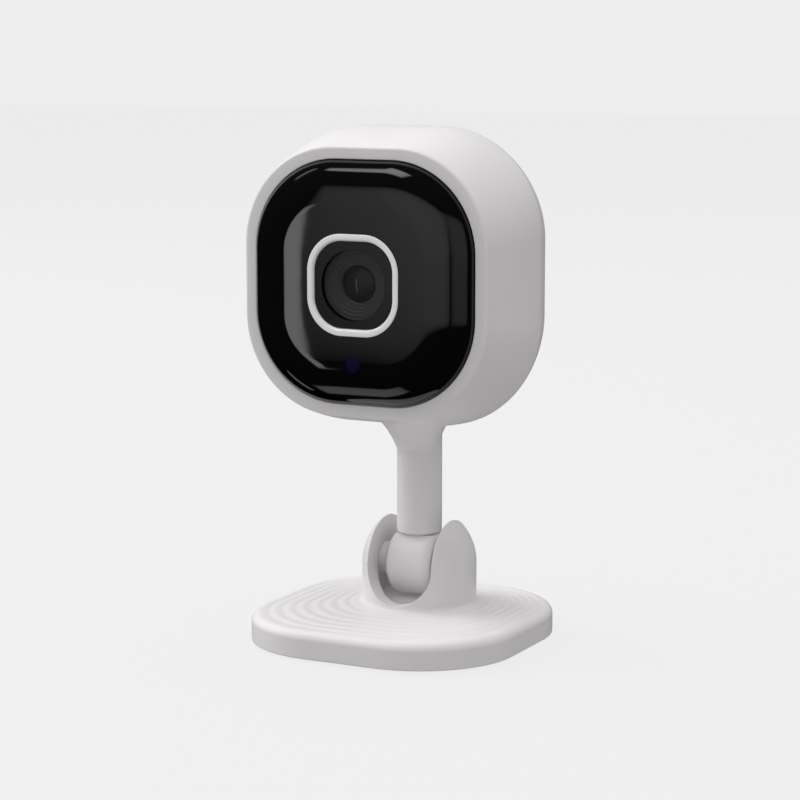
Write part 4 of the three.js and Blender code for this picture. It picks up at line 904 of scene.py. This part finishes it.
build("masked_window", [shell(soften(window_rows, {1, 2}, WINDOW_EDGE))],
      "head", window_glass, ["lens_window"])

barrel_front = WINDOW_FRONT - WINDOW_THICK - BARREL_BEHIND
barrel_mouth = BARREL_RADIUS - BARREL_LIP
baffle_out = np.linspace(barrel_mouth, IRIS_RADIUS, 40)
# Fine steps go down to the glass: each baffle is a narrow flat and a short drop.
baffle_step = np.floor((barrel_mouth - baffle_out) / BAFFLE_WIDTH) * BAFFLE_DROP
baffle_forward = barrel_front - BAFFLE_SINK - baffle_step
barrel_rows = np.concatenate([
    sections(barrel_front - BARREL_LONG, BARREL_RADIUS, 0, 0, HEAD_Z, "y"),
    sections([barrel_front, barrel_front], [BARREL_RADIUS, barrel_mouth], 0, 0, HEAD_Z, "y"),
    sections(baffle_forward, baffle_out, 0, 0, HEAD_Z, "y"),
    sections(barrel_front - BARREL_LONG, IRIS_RADIUS, 0, 0, HEAD_Z, "y"),
])
anodised = textured(
    bare("black_anodised_aluminium", "484a4b", 0.5, 0.2), 0.15, 0.004, spread=0.06)
build("lens_barrel_turned", [shell(soften(barrel_rows, {1, 2}, BARREL_EDGE), closed=True)],
      "head", anodised, ["lens_barrel"])
coated_glass = bare("coated_lens_glass", "2c2e2e", 0.06, IOR=1.3)
textured(coated_glass, 3, 0.001, spread=0.008)
dome_out = np.linspace(0.04, 1, 24) * DOME_RADIUS
dome_forward = (
    barrel_front - DOME_SINK + DOME_HIGH * np.sqrt(1 - (dome_out / IRIS_RADIUS) ** 2))
dome_rows = np.concatenate([
    sections(dome_forward, dome_out, 0, 0, HEAD_Z, "y"),
    sections(barrel_front - DOME_BACK, DOME_RADIUS, 0, 0, HEAD_Z, "y")])
build("domed_glass", [shell(dome_rows)], "head", coated_glass, ["lens_element"])
dress(black_acetal, "lens_holder")

# ---------------------------------------------------------------- rear cover
# The back is a second white ABS moulding, held by four cross-recess screws. It is open for the
# power socket, a reset button, a microphone and a ring of speaker holes.
COVER_LIP = 1.9
COVER_RIM = 1.6
COVER_GAP = 0.2
COVER_ROWS = 40
SEAM_GAP = 0.08
BACK_Y = 10.0
SCREW_OFFSET = 11.6
COUNTERBORE = 2.1
COUNTERBORE_DEEP = 1.4
USB_SIZE = (9, 8, 3.2)
USB_Z = -12.8
BUTTON_PLACE = (-6.6, -8.6)
BUTTON_RADIUS = 1.6
MIC_PLACE = (-6, 11.2)
MIC_HOLE = 0.6
SPEAKER_PLACE = (7.3, 1.5)
SPEAKER_HOLE = 0.7
SPEAKER_RING = 4.0
OPENING_GAP = 0.25
to_seam = np.linspace(1, 0, COVER_ROWS)
back_forward = BACK_FORWARD + (SEAM_FORWARD - BACK_FORWARD) * to_seam ** 2
cover_inner = CAVITY_BACK_HALF - COVER_GAP
cover_rows = np.concatenate([
    front_rows(
        [-8, SEAM_FORWARD + COVER_LIP, SEAM_FORWARD + COVER_LIP, SEAM_FORWARD - SEAM_GAP],
        [cover_inner - COVER_RIM, cover_inner - COVER_RIM, cover_inner, cover_inner],
        CAVITY_FLAT),
    head_rows(back_forward - SEAM_GAP * to_seam),
    sections([BACK_FORWARD] * 3, [BACK_HALF - 0.6, 12, 6], [BACK_FLAT, 4, 2],
             0, HEAD_Z + HEAD_RISE, "y"),
])
cover_rows = soften(cover_rows, {4}, SEAM_EDGE)
rear_cover = build(
    "back_cover", [shell(cover_rows)], "head", white_abs, ["rear_cover"])


def hole(radius, x, z, deep=4.0, mouth=0.15, steps=4):
    """A round cutter from outside the back to a depth, its mouth flared by a small curve."""
    turn = np.linspace(0, math.pi / 2, steps + 1)
    forward = np.concatenate([
        [-BACK_Y + deep], -BACK_Y + mouth * (1 - np.sin(turn)), [-BACK_Y - 1]])
    out = np.concatenate([[radius], radius + mouth * (1 - np.cos(turn)), [radius + mouth]])
    return shell(sections(forward, out, 0, x, HEAD_Z + z, "y")[:, ::8])


screw_places = [(x * SCREW_OFFSET, z * SCREW_OFFSET) for x in (-1, 1) for z in (-1, 1)]
speaker_turn = np.arange(8) * math.pi / 4
speaker_places = [SPEAKER_PLACE] + [
    (SPEAKER_PLACE[0] + SPEAKER_RING * math.cos(turn),
     SPEAKER_PLACE[1] + SPEAKER_RING * math.sin(turn))
    for turn in speaker_turn]


def usb_outline(half_width, half_height, forward):
    """A flattened round-ended outline: circles of the half height carried along a straight."""
    x = np.cos(TURN) * half_height + spread_ends(np.cos(TURN), half_width - half_height)
    z = np.sin(TURN) * half_height
    return np.stack([
        np.stack([x, np.full(AROUND, -at), HEAD_Z + USB_Z + z], -1) for at in forward])


cutters = [hole(COUNTERBORE, x, z, deep=COUNTERBORE_DEEP) for x, z in screw_places]
cutters += [hole(SPEAKER_HOLE, x, z) for x, z in speaker_places]
cutters += [hole(MIC_HOLE, *MIC_PLACE), hole(BUTTON_RADIUS + OPENING_GAP, *BUTTON_PLACE)]
usb_way = usb_outline(
    USB_SIZE[0] / 2 + OPENING_GAP, USB_SIZE[2] / 2 + OPENING_GAP, (-BACK_Y - 1, -BACK_Y + 4))
cutters.append(shell(usb_way[:, ::4]))
carve(rear_cover, cutters)


CASE_SCREW_SEAT = 1.35
CASE_SCREW_DOME = 1.2
CROSS_REACH = 1.35
CROSS_DEEP = 0.5


def case_screw(x, z):
    """A pan head with a cross recess: a four-lobed hollow of depth cos^6 of twice the angle."""
    seat = BACK_FORWARD + CASE_SCREW_SEAT
    out = np.array([1.0, 1.0, 1.9, 1.9, 1.55, 1.2, 0.9, 0.6, 0.3])
    along = np.array([seat + 3, seat, seat, seat - 1.0] + [seat - CASE_SCREW_DOME] * 5)
    rows = sections(along, out, 0, x, HEAD_Z + z, "y")
    lobes = abs(np.cos(2 * TURN)) ** 6
    inward = np.clip((CROSS_REACH - out) / 0.5, 0, 1)[:, None]
    sink = inward * np.where((out < 0.5)[:, None], 1, lobes)
    rows[:, :, 1] -= CROSS_DEEP * sink
    return shell(soften(rows, {3}, 0.15))


build("case_screws", [case_screw(x, z) for x, z in screw_places], "head", turned_steel,
      ["rear_screw_1", "rear_screw_2", "rear_screw_3", "rear_screw_4"])

# ---------------------------------------------------------------- sockets and button
# The power socket's folded steel shell holds a black tongue with gilt contacts; the reset
# button is a small moulded plunger that stands just below the back's face.
USB_FRONT = -9.65
USB_BACK = -1.65
USB_FLOOR = -3.15
USB_WALL = 0.4
CONTACT_PITCH = 0.5
CONTACT_HALF = 0.13
shell_steel = textured(
    bare("drawn_steel", "c2c4c8", 0.25, 1), 0.2, 0.003, stretch=(1, 0.1, 1), spread=0.05)
inner_w, inner_h = USB_SIZE[0] / 2 - USB_WALL, USB_SIZE[2] / 2 - USB_WALL
usb_rows = np.concatenate([
    usb_outline(USB_SIZE[0] / 2, USB_SIZE[2] / 2, (USB_BACK, USB_FRONT)),
    usb_outline(inner_w, inner_h, (USB_FRONT, USB_FLOOR))])
build("power_socket_shell", [shell(soften(usb_rows, {1, 2}, 0.12))],
      "head", shell_steel, ["usb_socket"])
tongue_block = usb_outline(3.0, 0.35, (-3.0, USB_FRONT + 0.8))
build("power_socket_tongue", [shell(soften(tongue_block, {1}, 0.1))],
      "head", black_acetal)
gilt = textured(bare("gilt_contacts", "d8b45a", 0.25, 1), 0.2, 0.002, spread=0.05)
contacts = []
for column in range(-4, 5):
    strip = slab((column * CONTACT_PITCH - CONTACT_HALF, column * CONTACT_PITCH + CONTACT_HALF),
                 (4.5, -USB_FRONT - 1.1),
                 (HEAD_Z + USB_Z + 0.3, HEAD_Z + USB_Z + 0.4), 0.04)
    contacts.append(shell(strip[:, ::12]))
build("power_socket_contacts", contacts, "head", gilt)

PLUNGER_FACE = -9.9
PLUNGER_STEM = 0.9
PLUNGER_FLANGE = 2.4
button_x, button_z = BUTTON_PLACE
plunger = sections(
    [-5.0, -7.0, -7.0, -7.9, -7.9, PLUNGER_FACE],
    [PLUNGER_STEM, PLUNGER_STEM, PLUNGER_FLANGE, PLUNGER_FLANGE, BUTTON_RADIUS, BUTTON_RADIUS],
    0, button_x, HEAD_Z + button_z, "y")
dimple = sections([PLUNGER_FACE, -9.72], [1.1, 0.5], 0, button_x, HEAD_Z + button_z, "y")
grey_abs = plastic("grey_button_abs", "9a9a9c", 0.4)
build("reset_plunger", [shell(soften(np.concatenate([plunger, dimple]), {5, 6}, 0.2))],
      "button", grey_abs, ["reset_button"])

# ---------------------------------------------------------------- memory card
# A thin black moulded card, spring-held in its socket.
card_low, card_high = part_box("memory_card")
card_x = (card_low.x * 1000, card_high.x * 1000)
card_rows = slab(
    card_x, (CARD_Y, CARD_Y + CARD_SIZE[1]),
    (HEAD_Z - CARD_SIZE[2] / 2, HEAD_Z + CARD_SIZE[2] / 2), 0.25)
card_black = textured(bare("card_black", "151517", 0.4), 0.3, 0.006, spread=0.05)
build("memory_card_body", [shell(soften(card_rows, {0, 1}, 0.15))],
      "card", card_black, ["memory_card"])

# ---------------------------------------------------------------- inside the head
# Glass-epoxy boards under green solder mask with copper tracks, tinned cans and chips, the foil
# battery, amber film cables: each carries on from the frame with its own finish.
solder_mask = bare("green_solder_mask", "14502c", 0.35, Coat_Weight=0.3)
mask_tree = solder_mask.node_tree
mask_place = add(mask_tree, "ShaderNodeTexCoord").outputs["Object"]
turned_place = add(mask_tree, "ShaderNodeMapping", {
    "Vector": mask_place, "Rotation": (math.pi / 2, 0, 0)})
# Tracks 0.35 mm wide at a pitch of 0.9 mm, in rows 5 mm long.
tracks = add(mask_tree, "ShaderNodeTexBrick", {
    "Vector": turned_place.outputs["Vector"], "Scale": 1, "Mortar Size": 0.000175,
    "Brick Width": 0.005, "Row Height": 0.0009,
    "Color1": colour("14502c"), "Color2": colour("124a28"), "Mortar": colour("2c7a46")})
mask_shader = mask_tree.nodes["Principled BSDF"]
mask_tree.links.new(tracks.outputs["Color"], mask_shader.inputs["Base Color"])
foil = textured(bare("battery_foil", "b9bcc2", 0.35, 0.9), 2.5, 0.05, spread=0.08)
film = textured(bare("amber_polyimide_film", "b5651d", 0.25), 1.0, 0.01, spread=0.05)
tinned = textured(bare("tinned_can", "c9ccd0", 0.3, 1), 0.4, 0.004, spread=0.08)
epoxy = textured(
    bare("clear_led_epoxy", "2a1c22", 0.08, Transmission_Weight=0.3), 1.0, 0.002, spread=0.02)
dress(solder_mask, "sensor_board", "led_board", "main_board")
dress(tinned, "processor_shield", "card_socket", "microphone", "reset_switch",
      "sensor_screw_1", "sensor_screw_2")
dress(foil, "battery")
dress(film, "flex_cable", "antenna")
dress(epoxy, "infrared_led_1", "infrared_led_2", "infrared_led_3", "infrared_led_4",
      "status_led")
dress(black_acetal, "speaker")
dress(coated_glass, "image_sensor")

bpy.context.view_layer.update()
